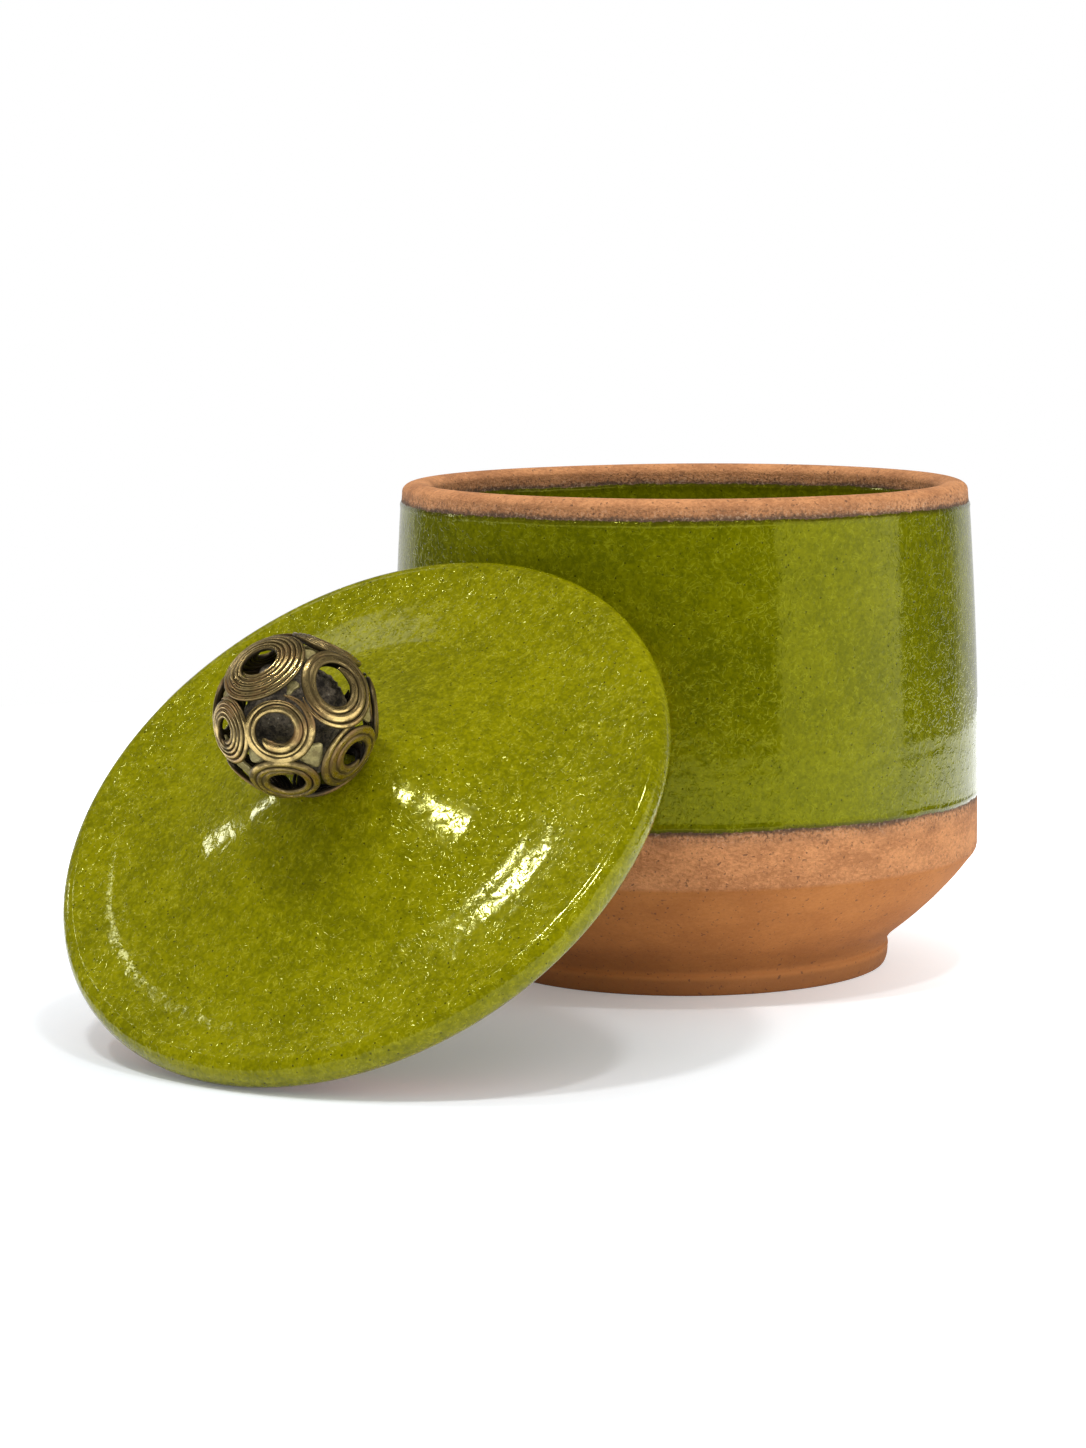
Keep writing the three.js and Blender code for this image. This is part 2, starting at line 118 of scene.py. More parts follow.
# %% Nodes
class Paint:
    """A material or a world that is being built."""

    def __init__(self, name, owner=None):
        self.owner = owner or bpy.data.materials.new(name)
        self.owner.use_nodes = True
        self.tree = self.owner.node_tree
        self.tree.nodes.clear()

    def add(self, kind, settings=None, inputs=None, output=0):
        """A node of any type: its settings first, then its sockets."""
        node = self.tree.nodes.new(kind)
        for key, value in (settings or {}).items():
            setattr(node, key, value)
        for key, value in (inputs or {}).items():
            if isinstance(value, Field):
                self.tree.links.new(value.socket, node.inputs[key])
            else:
                node.inputs[key].default_value = value
        return Field(self, node.outputs[output])

    def math(self, operation, *values):
        return self.add("ShaderNodeMath", {"operation": operation}, dict(enumerate(values)))

    def step(self, value, low, high):
        """0 below low, 1 above high, smooth between them."""
        return self.add(
            "ShaderNodeMapRange", {"interpolation_type": "SMOOTHSTEP"},
            {"Value": value, "From Min": low, "From Max": high},
        )

    def blend(self, share, first, second):
        """The first colour where share is 0, the second where it is 1."""
        sockets = {0: share, 6: colour(first), 7: colour(second)}
        return self.add("ShaderNodeMix", {"data_type": "RGBA"}, sockets, output=2)

    def place(self):
        """Where a point is, in mm, in the piece's own coordinates."""
        where = self.add("ShaderNodeTexCoord", output=3)
        return self.add("ShaderNodeVectorMath", {"operation": "SCALE"}, {0: where, "Scale": 1 / MM})

    def stretch(self, where, scale):
        return self.add("ShaderNodeVectorMath", {"operation": "MULTIPLY"}, {0: where, 1: scale})

    def noise(self, where, size, detail=3.0, roughness=0.5, distortion=0.0):
        """Cloudy noise round 0.5 whose blobs are about size mm across."""
        return self.add("ShaderNodeTexNoise", None, {
            "Vector": where, "Scale": 0.5 / size, "Detail": detail, "Roughness": roughness,
            "Distortion": distortion,
        })

    def cells(self, where, size):
        """Distance to scattered points about size mm apart, as a share of size."""
        return self.add("ShaderNodeTexVoronoi", None, {"Vector": where, "Scale": 1 / size})

    def attribute(self, name):
        """A value that the mesh stores on its points."""
        return self.add("ShaderNodeAttribute", {"attribute_name": name}, output=2)

    def bump(self, height):
        """A normal from a height in mm."""
        return self.add("ShaderNodeBump", None, {"Height": height, "Distance": MM, "Strength": 1.0})

    def shader(self, **inputs):
        """A Principled shader. Socket names have underscores for their spaces."""
        named = {key.replace("_", " "): value for key, value in inputs.items()}
        return self.add("ShaderNodeBsdfPrincipled", None, named)

    def output(self, shader, kind="ShaderNodeOutputMaterial"):
        end = self.tree.nodes.new(kind)
        self.tree.links.new(shader.socket, end.inputs["Surface"])
        print(f"{self.owner.name}: {len(self.tree.nodes)} nodes")
        return self.owner


def colour(value):
    """A linked colour as it is, or red, green and blue with full opacity."""
    return value if isinstance(value, Field) else (*value, 1.0)


# %% [markdown]
# ## Meshes from arrays
# Thrown and wound pieces are grids: rows along a profile or a wire, columns round it. A curve with a
# bevel or a Screw modifier would make them too, but then no value could be stored on each point and no
# point could be moved by itself. One helper numbers the faces of a grid, one closes its ends, and one
# turns points in mm into a piece in metres.


# %% Grids
def grid_faces(rows, columns, closed_rows=False):
    """Quads between neighbouring rows. Each row is a closed ring."""
    row = np.arange(rows if closed_rows else rows - 1)[:, None]
    column = np.arange(columns)[None, :]
    ahead = (row + 1) % rows
    beside = (column + 1) % columns
    quads = np.stack([row * columns + column, row * columns + beside,
                      ahead * columns + beside, ahead * columns + column], axis=-1)
    return quads.reshape(-1, 4).tolist()


def tube_faces(rows, columns, flipped=False):
    """A grid with both ends closed. Flipped where the rows run the other way."""
    last = (rows - 1) * columns
    ends = [list(range(columns))[::-1], list(range(last, last + columns))]
    faces = grid_faces(rows, columns) + ends
    return [face[::-1] for face in faces] if flipped else faces


def make_piece(name, points, faces, values=None):
    """A smooth piece from points in mm, with named values on its points."""
    mesh = bpy.data.meshes.new(name)
    mesh.from_pydata((np.asarray(points) * MM).tolist(), [], faces)
    mesh.polygons.foreach_set("use_smooth", [True] * len(mesh.polygons))
    for key, value in (values or {}).items():
        layer = mesh.attributes.new(key, "FLOAT", "POINT")
        layer.data.foreach_set("value", np.asarray(value, dtype=np.float32).ravel())
    piece = bpy.data.objects.new(name, mesh)
    scene.collection.objects.link(piece)
    print(f"{name}: {len(mesh.vertices)} points, {len(mesh.polygons)} faces")
    return piece


def finish_piece(piece, material, body, slot, *nodes):
    """The piece takes a material, rides on a body and stands for CAD nodes."""
    piece.data.materials.append(material)
    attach(piece, body)
    if nodes:
        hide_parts(*nodes)


# %% [markdown]
# ## The outline of the pot
# A thrower draws the wall up in one pull, so the outline is a few easy curves: the foot, a groove, a
# cone that swells a little, the corner of the shoulder, and a wall that closes slowly towards the rim.
# The same curves are in the CAD solid. Here they get many more points, because the glaze and the
# marks of the fingers are shaped along them.


# %% Curves
FINE_POINTS = 20000


def bezier(points, steps):
    """Points along a curve with any number of control points, without the first."""
    t = np.linspace(0, 1, steps + 1)[1:, None]
    layers = [np.asarray(p, dtype=float)[None, :] for p in points]
    while len(layers) > 1:
        layers = [a * (1 - t) + b * t for a, b in zip(layers, layers[1:])]
    return layers[0]


def arc(centre, radii, start, end, steps):
    """Points along an arc from start to end, in degrees, without the first."""
    angle = np.radians(np.linspace(start, end, steps + 1))[1:]
    return np.column_stack([centre[0] + radii[0] * np.cos(angle), centre[1] + radii[1] * np.sin(angle)])


def respace(points, spacing):
    """The same outline with points as far apart as spacing(points) asks."""
    points = np.asarray(points)
    lengths = np.concatenate([[0], np.cumsum(np.linalg.norm(np.diff(points, axis=0), axis=1))])
    fine = np.linspace(0, lengths[-1], FINE_POINTS)
    dense = np.column_stack([np.interp(fine, lengths, points[:, k]) for k in range(2)])
    need = np.concatenate([[0], np.cumsum(np.diff(fine) / spacing(dense[1:]))])
    count = int(math.ceil(need[-1]))
    at = np.interp(np.linspace(0, need[-1], count + 1), need, fine)
    return np.column_stack([np.interp(at, lengths, points[:, k]) for k in range(2)])


def outward(points):
    """The normal of an outline that keeps the clay on its left."""
    along = np.gradient(points, axis=0)
    along /= np.linalg.norm(along, axis=1)[:, None]
    return np.column_stack([along[:, 1], -along[:, 0]])


# %% Outline of the pot
JAR_RADIUS = 75.0
RIM_RADIUS = 71.95
RIM_START = 121.0
RIM_RISE = 2.5
SHOULDER = 29.6
WALL_START = 31.2
WALL = 8.0
FLOOR = 10.0
INSIDE_CORNER = 44.0
MIDDLE = 1.0


def wall_radius(z):
    """The radius of the outside at a height on the wall."""
    t = np.clip((z - SHOULDER) / (RIM_START - SHOULDER), 0, 1)
    return JAR_RADIUS - (JAR_RADIUS - RIM_RADIUS) * t * t


foot = bezier([(50.8, 0), (52, 0), (52.6, 5.2), (51.4, 5.2)], 20)
groove = bezier([(51.4, 5.2), (52, 7.5), (54.9, 9.8)], 12)
cone = bezier([(54.9, 9.8), (66.35, 18.3), (73.4, 28.0)], 40)
shoulder = bezier([(73.4, 28.0), (JAR_RADIUS, SHOULDER), (wall_radius(WALL_START), WALL_START)], 12)
wall_z = np.linspace(WALL_START, RIM_START, 200)[1:]
outer_wall = np.column_stack([wall_radius(wall_z), wall_z])
rim = arc((RIM_RADIUS - WALL / 2, RIM_START), (WALL / 2, RIM_RISE), 0, 180, 40)
inside_low = FLOOR + INSIDE_CORNER
inner_z = np.linspace(RIM_START, inside_low, 200)[1:]
inner_wall = np.column_stack([wall_radius(inner_z) - WALL, inner_z])
inside_wall = wall_radius(inside_low) - WALL
corner = bezier([(inside_wall, inside_low), (inside_wall, FLOOR), (inside_wall - INSIDE_CORNER, FLOOR)], 60)
pot_outline = np.vstack([
    [(MIDDLE, 0), (50.8, 0)], foot, groove, cone, shoulder, outer_wall, rim, inner_wall, corner,
    [(MIDDLE, FLOOR)],
])
print("pot outline:", len(pot_outline), "points before they are spaced")

# %% [markdown]
# ## Where the glaze stops
# The pot was dipped and its rim and foot were wiped, so the glaze ends in lines that wander a little
# and stand up as a soft bead. Each point of the pot stores how far inside the glaze it is, in mm.
# The shape and the material both read that one value, so the bead, the dark scorched fringe in the
# clay and the change of finish always fall together.


# %% Glaze lines
def wander(angle, seed, size, waves):
    """A wavy line round the axis: random waves that close on themselves."""
    dice = np.random.default_rng(seed)
    line = np.zeros_like(angle)
    for count in waves:
        phase = dice.uniform(0, 2 * math.pi)
        share = dice.uniform(0.5, 1.0) / math.sqrt(count)
        line += share * np.cos(count * angle + phase)
    return size * line


GLAZE_DEPTH = 0.25
GLAZE_FOOT = -0.15
GLAZE_RISE = 0.9
BEAD = 0.13
BEAD_INSIDE = 0.8
BEAD_WIDTH = 0.7


def smooth(share):
    """A soft step from 0 to 1."""
    share = np.clip(share, 0, 1)
    return share * share * (3 - 2 * share)


def bump_at(distance, width):
    """A round bump, 1 where the distance is 0."""
    return np.exp(-(distance / width) ** 2)


def glaze_height(inside):
    """How far the surface stands above full glaze, from the distance inside the glaze."""
    rise = smooth((inside - GLAZE_FOOT) / GLAZE_RISE)
    height = GLAZE_DEPTH * rise + BEAD * bump_at(inside - BEAD_INSIDE, BEAD_WIDTH)
    return height - (GLAZE_DEPTH + BEAD * 0.2)


LOWER_LINE = 44.1
UPPER_LINE = 118.3
INSIDE_LINE = 118.4
POT_COLUMNS = 360
FINE_STEP = 0.28
FOOT_INSIDE = 48.0
around = np.arange(POT_COLUMNS) * 2 * math.pi / POT_COLUMNS
LOW_WAVES = (1, 2, 3, 5, 8, 13, 21, 34, 47)
lower_line = LOWER_LINE + wander(around, 3, 0.36, LOW_WAVES)
upper_line = UPPER_LINE + wander(around, 5, 0.22, LOW_WAVES)
inside_line = INSIDE_LINE + wander(around, 8, 0.35, LOW_WAVES)
print(f"lower glaze line from {lower_line.min():.1f} to {lower_line.max():.1f} mm above the table")


def pot_spacing(points):
    """How far apart the rows of the pot are, in mm: closest by the glaze lines."""
    z = points[:, 1]
    near = np.min([np.abs(z - line) for line in (LOWER_LINE, UPPER_LINE, INSIDE_LINE)], axis=0)
    small = (z > 114) | ((points[:, 0] > FOOT_INSIDE) & (z < 14))
    return np.where(near < 2.5, FINE_STEP, np.where(small, 0.45, 1.1))


pot_rows = respace(pot_outline, pot_spacing)
pot_normal = outward(pot_rows)
crown = int(np.argmax(pot_rows[:, 1]))
height = pot_rows[:, 1][:, None] * np.ones(POT_COLUMNS)[None, :]
outside_glaze = np.minimum(height - lower_line, upper_line - height)
inside_glaze = inside_line - height
pot_glaze = np.where(np.arange(len(pot_rows))[:, None] <= crown, outside_glaze, inside_glaze)

# %% [markdown]
# ## The pot
# Fingers leave rings on a thrown wall, and a pot that has been lifted off the wheel is never quite
# round. Both are far too small to measure by eye, but the gloss shows them: a highlight on a perfect
# cylinder has ruler-straight edges. So the wall is oval by a tenth of a millimetre, and its rings are
# a hundredth deep. The foot has a thin ridge that the turning tool left.

# %% Pot mesh
FOOT_RIDGE = 0.35
RIDGE_HEIGHT = 5.0
RIDGE_WIDTH = 0.7
rings = 0.007 * np.sin(pot_rows[:, 1] * 1.13) + 0.003 * np.sin(pot_rows[:, 1] * 2.41 + 1.0)
still = np.clip((pot_rows[:, 1] - 6.0) / 14.0, 0, 1)
oval = 0.10 * np.cos(2 * around + 0.6) + wander(around, 21, 0.03, (3, 4, 5, 7, 9))
lean = 0.10 * np.cos(around - 1.1)[None, :] * np.sin(pot_rows[:, 1] / 17.0)[:, None]
lift = (glaze_height(pot_glaze) + rings[:, None] + oval[None, :] + lean) * still[:, None]
ridge = FOOT_RIDGE * bump_at(pot_rows[:, 1] - RIDGE_HEIGHT, RIDGE_WIDTH) * (pot_rows[:, 0] > FOOT_INSIDE)
lift = lift + ridge[:, None]
radius = pot_rows[:, 0][:, None] + pot_normal[:, 0][:, None] * lift
level = pot_rows[:, 1][:, None] + pot_normal[:, 1][:, None] * lift
pot_points = np.stack([radius * np.cos(around), radius * np.sin(around), level], axis=-1).reshape(-1, 3)
pot = make_piece("pot", pot_points, tube_faces(len(pot_rows), POT_COLUMNS), {"glaze": pot_glaze})

# %% [markdown]
# ## The lid
# The lid is thrown too: a low cone that runs out into a brim with a round edge, and a ring beneath
# that keeps it on the mouth. The upper corner of the edge is a little squarer than a circle, which
# gives the photo's line of light along it. The outline is drawn with the lid lying flat, as it was
# turned, and the finished points are laid where the CAD lid leans.

# %% Lid outline
SEAT_RADIUS = 75.9
EDGE = 4.2
CREST_POWER = 2.5
BRIM = (64.0, 7.9)
CROWN = (7.5, 21.6)
HOLLOW = (8.8, 13.8)
HOLLOW_EDGE = 0.1
RING_OUT = 62.05
RING_IN = 56.55
RING_DEPTH = 9.0
RING_CORNER = 1.2
SCREW_HOLE = 2.6


def square_arc(centre, radius, power, steps):
    """A quarter turn from the side up to the top. Power 2 is round, and more is squarer."""
    angle = np.radians(np.linspace(0, 90, steps + 1))[1:]
    reach = radius / (np.cos(angle) ** power + np.sin(angle) ** power) ** (1 / power)
    return np.column_stack([centre[0] + reach * np.cos(angle), centre[1] + reach * np.sin(angle)])


def flare(inner, outer, steps):
    """A cone that runs out level at its outer end."""
    reach = outer[0] - inner[0]
    drop = inner[1] - outer[1]
    bend = [(inner[0] + 0.30 * reach, inner[1] - 0.34 * drop), (inner[0] + 0.52 * reach, outer[1])]
    return bezier([inner, *bend, outer], steps)


ring_side = -RING_DEPTH + RING_CORNER
ring_middle = (RING_IN + RING_OUT) / 2
ring_round = bezier([
    (RING_IN + 0.5, ring_side), (RING_IN + 0.7, -RING_DEPTH), (ring_middle, -RING_DEPTH),
    (RING_OUT - 0.7, -RING_DEPTH), (RING_OUT - 0.5, ring_side),
], 16)
lid_outline = np.vstack([
    [(SCREW_HOLE, HOLLOW[1]), HOLLOW], flare(HOLLOW, (RING_IN, HOLLOW_EDGE), 60),
    [(RING_IN + 0.5, ring_side)], ring_round,
    bezier([(RING_OUT - 0.1, -1.0), (RING_OUT, 0.0), (RING_OUT + 0.9, 0.0)], 6),
    arc((SEAT_RADIUS - EDGE, EDGE), (EDGE, EDGE), -90, 0, 25),
    square_arc((SEAT_RADIUS - EDGE, EDGE), EDGE, CREST_POWER, 40),
    flare(CROWN, BRIM, 90)[::-1], [CROWN, (SCREW_HOLE, CROWN[1])],
])
LID_COLUMNS = 360


def lid_spacing(points):
    """How far apart the rows of the lid are, in mm: closest where the glaze ends under the edge."""
    r, z = points[:, 0], points[:, 1]
    seam = (np.abs(r - 73.3) < 2.0) & (z < 3.0)
    edge = (r > 70.0) | ((r > 55.0) & (z < 0.5))
    return np.where(seam, FINE_STEP, np.where(edge, 0.5, 1.0))


lid_rows = respace(lid_outline, lid_spacing)
lid_normal = outward(lid_rows)
travelled = np.concatenate([[0], np.cumsum(np.linalg.norm(np.diff(lid_rows, axis=0), axis=1))])
top_start = int(np.argmax((lid_rows[:, 0] > 73.2) & (lid_rows[:, 1] < 3.0)))
hollow_end = int(np.argmax(lid_rows[:, 0] > RING_IN - 0.6))
lid_angle = np.arange(LID_COLUMNS) * 2 * math.pi / LID_COLUMNS
seat_line = travelled[top_start] + wander(lid_angle, 31, 0.3, LOW_WAVES)
hollow_line = travelled[hollow_end] + wander(lid_angle, 33, 0.35, LOW_WAVES)
from_seat = travelled[:, None] - seat_line[None, :]
from_hollow = hollow_line[None, :] - travelled[:, None]
lid_glaze = np.maximum(from_seat, from_hollow)
print(f"lid: {len(lid_rows)} rows, glaze ends {travelled[top_start]:.1f} mm along its outline")

# %% [markdown]
# The cone carries broad soft rings from the throwing, and one shallow valley where it turns into the
# brim. They bend the highlights into the broken arcs that the photo shows.

# %% Lid mesh
r, z = lid_rows[:, 0], lid_rows[:, 1]
on_top = np.clip((z - 4.0) / 3.0, 0, 1) * (np.arange(len(lid_rows)) > top_start)
valley = -0.06 * bump_at(r - 62.0, 2.6) + 0.04 * bump_at(r - 67.5, 2.2)
throwing = 0.040 * np.sin(r * 0.62 + 0.4) + 0.020 * np.sin(r * 1.5) + 0.003 * np.sin(r * 3.3 + 2.0)
held = np.clip((r - 12.0) / 8.0, 0, 1)
wobble = wander(lid_angle, 41, 0.07, (2, 3, 4, 6, 9))
drift = np.sin(r[:, None] * 0.35 + 1.7 * np.sin(lid_angle[None, :]) + 0.8 * np.sin(2 * lid_angle[None, :]))
lid_lift = glaze_height(lid_glaze) + (valley + throwing * held)[:, None] * on_top[:, None]
lid_lift = lid_lift + (wobble[None, :] + 0.035 * drift) * (on_top * held)[:, None]
radius = r[:, None] + lid_normal[:, 0][:, None] * lid_lift
level = z[:, None] + lid_normal[:, 1][:, None] * lid_lift
flat_points = np.stack([radius * np.cos(lid_angle), radius * np.sin(lid_angle), level], axis=-1)
print(f"lid before it is laid down: {level.max() - level.min():.1f} mm high without its ball")

# %% [markdown]
# The lid leans on the jar, turned a little towards the camera. The CAD core marks the middle of the
# ball, and the ball's height above the lid is known, so the core and the lean give the lid's place.

# %% Lid place
LID_TILT = math.radians(-43.4)
LID_TWIST = math.radians(3.0)
LID_TURN = Matrix.Rotation(LID_TWIST, 4, "Z") @ Matrix.Rotation(LID_TILT, 4, "Y")


def middle_of(node):
    """The middle of a CAD node's box, in metres."""
    low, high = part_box(node)
    return (Vector(low) + Vector(high)) / 2


BALL_HEIGHT = 38.9434
ball_centre = middle_of("knob_core")
lid_axis = LID_TURN.to_3x3() @ Vector((0, 0, 1))
lid_place = Matrix.Translation(ball_centre - lid_axis * BALL_HEIGHT * MM) @ LID_TURN
turned_points = flat_points.reshape(-1, 3) @ np.array(lid_place.to_3x3()).T
lid_points = turned_points + np.array(lid_place.translation) / MM
lid_faces = grid_faces(len(lid_rows), LID_COLUMNS, closed_rows=True)
lid = make_piece("lid", lid_points, lid_faces, {"glaze": lid_glaze})
print("lid origin in mm:", [round(c / MM, 2) for c in lid_place.translation])

# %% [markdown]
# ## The ball of wire
# The knob is fourteen coils of brass wire, brazed edge to edge into a ball. Each coil here finds its
# place from its CAD node: the node is flat, so the direction in which its points vary least is the
# coil's own axis. The real coils are domed, because they were pressed round a former, and their wire
# is hammered flat, so that the rounds touch and only fine dark grooves part them.


# %% Places of the coils
def coil_frame(node):
    """The axis of a coil, its distance from the ball's centre and its outer radius, in mm."""
    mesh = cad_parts[node].data
    points = np.empty(len(mesh.vertices) * 3)
    mesh.vertices.foreach_get("co", points)
    points = points.reshape(-1, 3) / MM - np.array(ball_centre) / MM
    spread = points - points.mean(axis=0)
    axis = np.linalg.svd(spread, full_matrices=False)[2][2]
    axis *= np.sign(axis @ points.mean(axis=0))
    distance = float((points @ axis).mean())
    flat = points - np.outer(points @ axis, axis)
    return Vector(axis), distance, float(np.linalg.norm(flat, axis=1).max())


COIL_NODES = ["knob_coil_top", *[f"knob_coil_upper_{k}" for k in range(1, 7)],
              *[f"knob_coil_lower_{k}" for k in range(1, 7)], "knob_coil_base"]
coil_frames = {node: coil_frame(node) for node in COIL_NODES}
for node, (axis, distance, outer) in coil_frames.items():
    print(f"{node}: {distance:.2f} mm out, radius {outer:.2f} mm")

# %% [markdown]
# Each coil differs, as hand work does: how many rounds, how wide its hole is, where the wire starts,
# which way it winds, how far its middle sank under the hammer, and whether the first round stands
# off from the next. Those in front follow the photo, the hidden ones are made up in the same spirit.

# %% Styles of the coils
COIL_STYLE = {
    "knob_coil_top": dict(rounds=5.65, hole=4.0, start=200, sink=0.2, shift=(-0.1, -0.2), swell=0.6),
    "knob_coil_upper_2": dict(rounds=4.65, hole=2.5, start=250, sink=0.2, shift=(-0.2, 0.2), swell=0.6),
    "knob_coil_upper_3": dict(rounds=2.65, hole=3.7, start=208, sink=0.5, shift=(0.1, -0.5), tuck=0.55,
                              swell=0.6),
    "knob_coil_upper_4": dict(rounds=2.65, hole=4.4, start=80, sink=0.9, shift=(-0.6, -0.1), wind=-1,
                              swell=0.9),
    "knob_coil_lower_2": dict(rounds=2.65, hole=3.5, start=60, sink=0.9, shift=(-0.5, 0.0), swell=0.4),
    "knob_coil_lower_3": dict(rounds=2.65, hole=3.0, start=300, sink=0.6, shift=(-0.1, 0.4), wind=-1,
                              swell=0.4),
    "knob_coil_lower_4": dict(rounds=3.65, hole=3.9, start=30, sink=0.5, shift=(0.1, 0.2)),
    "knob_coil_lower_1": dict(rounds=4.65, hole=3.6, start=130, sink=0.4, shift=(0.2, 0.0), wind=-1),
    "knob_coil_lower_5": dict(rounds=4.65, hole=4.2, start=10, sink=0.3, shift=(0.0, -0.3)),
    "knob_coil_lower_6": dict(rounds=3.65, hole=3.8, start=75, sink=0.6, shift=(-0.2, 0.1)),
    "knob_coil_upper_1": dict(rounds=3.65, hole=4.0, start=170, sink=0.5, shift=(-0.1, 0.2)),
    "knob_coil_upper_5": dict(rounds=4.65, hole=3.8, start=320, sink=0.4, shift=(0.2, 0.2), wind=-1),
    "knob_coil_upper_6": dict(rounds=5.65, hole=1.4, start=220, sink=0.3, shift=(0.0, 0.3)),
    "knob_coil_base": dict(rounds=3.65, hole=4.4, start=0, sink=0.0, shift=(0.0, 0.0)),
}
print(len(COIL_STYLE), "coils have a style")

# %% [markdown]
# The wire's section is a squashed circle. Along the wire, each round keeps its own radius and hops out
# to the next one in the last third of its turn, as wire does that is wound round by round. A plain
# spiral would drift outwards all the way and look like a machine's work.

# %% Rounds of the wire
WIRE_SIDES = 20
ROUND_STEPS = 96
WIRE_RISE = 0.62
WIRE_OVERLAP = 1.08
HOP = 0.35
TOUCH = 0.3
TUCK_TURNS = 0.55
spin = 2 * math.pi * np.arange(WIRE_SIDES) / WIRE_SIDES
section_out = np.sign(np.cos(spin)) * np.abs(np.cos(spin)) ** 0.8
section_rise = np.sign(np.sin(spin)) * np.abs(np.sin(spin)) ** 0.9


def wire_rounds(dice, turned, rounds, hole, outer, seed):
    """How far out the wire lies at each turn, and half its width there, in mm."""
    whole = np.floor(turned + 1e-9)
    hopped = smooth((turned - whole - (1 - HOP)) / HOP)
    share = dice.uniform(0.65, 1.35, math.floor(rounds) + 1)
    edges = hole + (outer - hole) * np.concatenate([[0], np.cumsum(share) / share.sum()])
    ring_half = np.append(np.diff(edges) / 2, 0)
    ring_radius = np.append((edges[1:] + edges[:-1]) / 2, outer)
    now = whole.astype(int)
    half = ring_half[now] * (1 - hopped) + ring_half[now + 1] * hopped
    radius = ring_radius[now] * (1 - hopped) + ring_radius[now + 1] * hopped
    uneven = wander(turned * 2 * math.pi, seed, 0.05, (1, 2, 3, 5))
    return radius + uneven * (turned < rounds - 1), half


def wire_ends(turned, rounds):
    """The share of its full thickness that the wire has: less at its cut ends."""
    share = np.minimum(np.clip(turned * 12, 0, 1), np.clip((rounds - turned) * 4, 0, 1))
    return np.sqrt(np.clip(share, 0.02, 1))


print(f"a full turn of wire has {ROUND_STEPS * WIRE_SIDES} points")

# %% [markdown]
# Each point of the wire is first placed by the coil's own axis: out from it, round it, and up to a
# dome round the ball's centre. The section then stands square on the dome. The value 'crest' says
# how high on the wire a point is, and 'across' how far to its side, for the finish to read.


# %% Coils
LEAST_TURN = 0.2


def coil_sides(axis):
    """Two directions square to a coil's axis, the first as near to the camera's right as it can be."""
    across = (VIEW_RIGHT - axis * VIEW_RIGHT.dot(axis)).normalized()
    if across.dot(VIEW_RIGHT) < LEAST_TURN:
        across = (VIEW_UP - axis * VIEW_UP.dot(axis)).normalized()
    return across, axis.cross(across)


def coil_piece(node, name, rounds, hole, start, sink, shift, wind=1, tuck=0.0, swell=0.0):
    """One wire from the hole outwards, over a dome, flattened where its rounds touch."""
    axis, distance, outer = coil_frames[node]
    outer += TOUCH + swell
    dice = np.random.default_rng(int(start) + 7)
    steps = int(rounds * ROUND_STEPS)
    turned = np.linspace(0, rounds, steps + 1)
    radius, half = wire_rounds(dice, turned, rounds, hole, outer, int(start))
    loose = np.clip(1 - turned / TUCK_TURNS, 0, 1) ** 0.7
    radius = radius - tuck * loose
    width = half * (WIRE_OVERLAP + 0.35 * loose * (tuck > 0))
    ring_rise = 1 + dice.uniform(-0.28, 0.22, math.ceil(rounds) + 1)
    lift = WIRE_RISE * np.interp(turned, np.arange(len(ring_rise)), ring_rise)

    fade = np.clip((outer - radius) / (outer - hole), 0, 1)
    angle = math.radians(start) + wind * 2 * math.pi * turned
    centre_x = radius * np.cos(angle) + shift[0] * fade
    centre_y = radius * np.sin(angle) + shift[1] * fade
    dome = math.hypot(distance, outer)
    reach = np.minimum(np.hypot(centre_x, centre_y), outer)
    crest = np.sqrt(dome ** 2 - reach ** 2) - distance - sink * fade ** 2
    slope = -reach / np.sqrt(dome ** 2 - reach ** 2) + sink * 2 * fade / (outer - hole)

    side_x, side_y = np.cos(angle), np.sin(angle)
    side_z = slope / np.sqrt(1 + slope ** 2)
    flat = 1 / np.sqrt(1 + slope ** 2)
    whole_wire = wire_ends(turned, rounds)
    sideways = (width * whole_wire)[:, None] * section_out[None, :]
    upwards = (lift * whole_wire)[:, None] * section_rise[None, :]
    x = centre_x[:, None] + sideways * (side_x * flat)[:, None] - upwards * (side_x * side_z)[:, None]
    y = centre_y[:, None] + sideways * (side_y * flat)[:, None] - upwards * (side_y * side_z)[:, None]
    z = crest[:, None] + sideways * side_z[:, None] + upwards * flat[:, None]
    across, upward = coil_sides(axis)
    seat = np.array(ball_centre) / MM + np.array(axis) * (distance - WIRE_RISE * 0.3)
    points = np.stack([x, y, z], axis=-1).reshape(-1, 3) @ np.array([across, upward, axis]) + seat
    values = {
        "crest": np.broadcast_to(section_rise, (steps + 1, WIRE_SIDES)),
        "across": np.broadcast_to(section_out, (steps + 1, WIRE_SIDES)) * width[:, None],
    }
    return make_piece(name, points, tube_faces(steps + 1, WIRE_SIDES, flipped=wind < 0), values)


coils = {}
for node, style in COIL_STYLE.items():
    coils[node] = coil_piece(node, node.replace("knob_coil", "ball_coil"), **style)

# %% [markdown]
# ## The lump inside the ball
# Through the holes one sees a rough dark lump with pale crumbs on it: what holds the fixing. In the
# CAD it is a core and a filler, so that the joints have a body to hang on. Here it is one lump, a
# sphere pushed in and out by waves of several sizes.

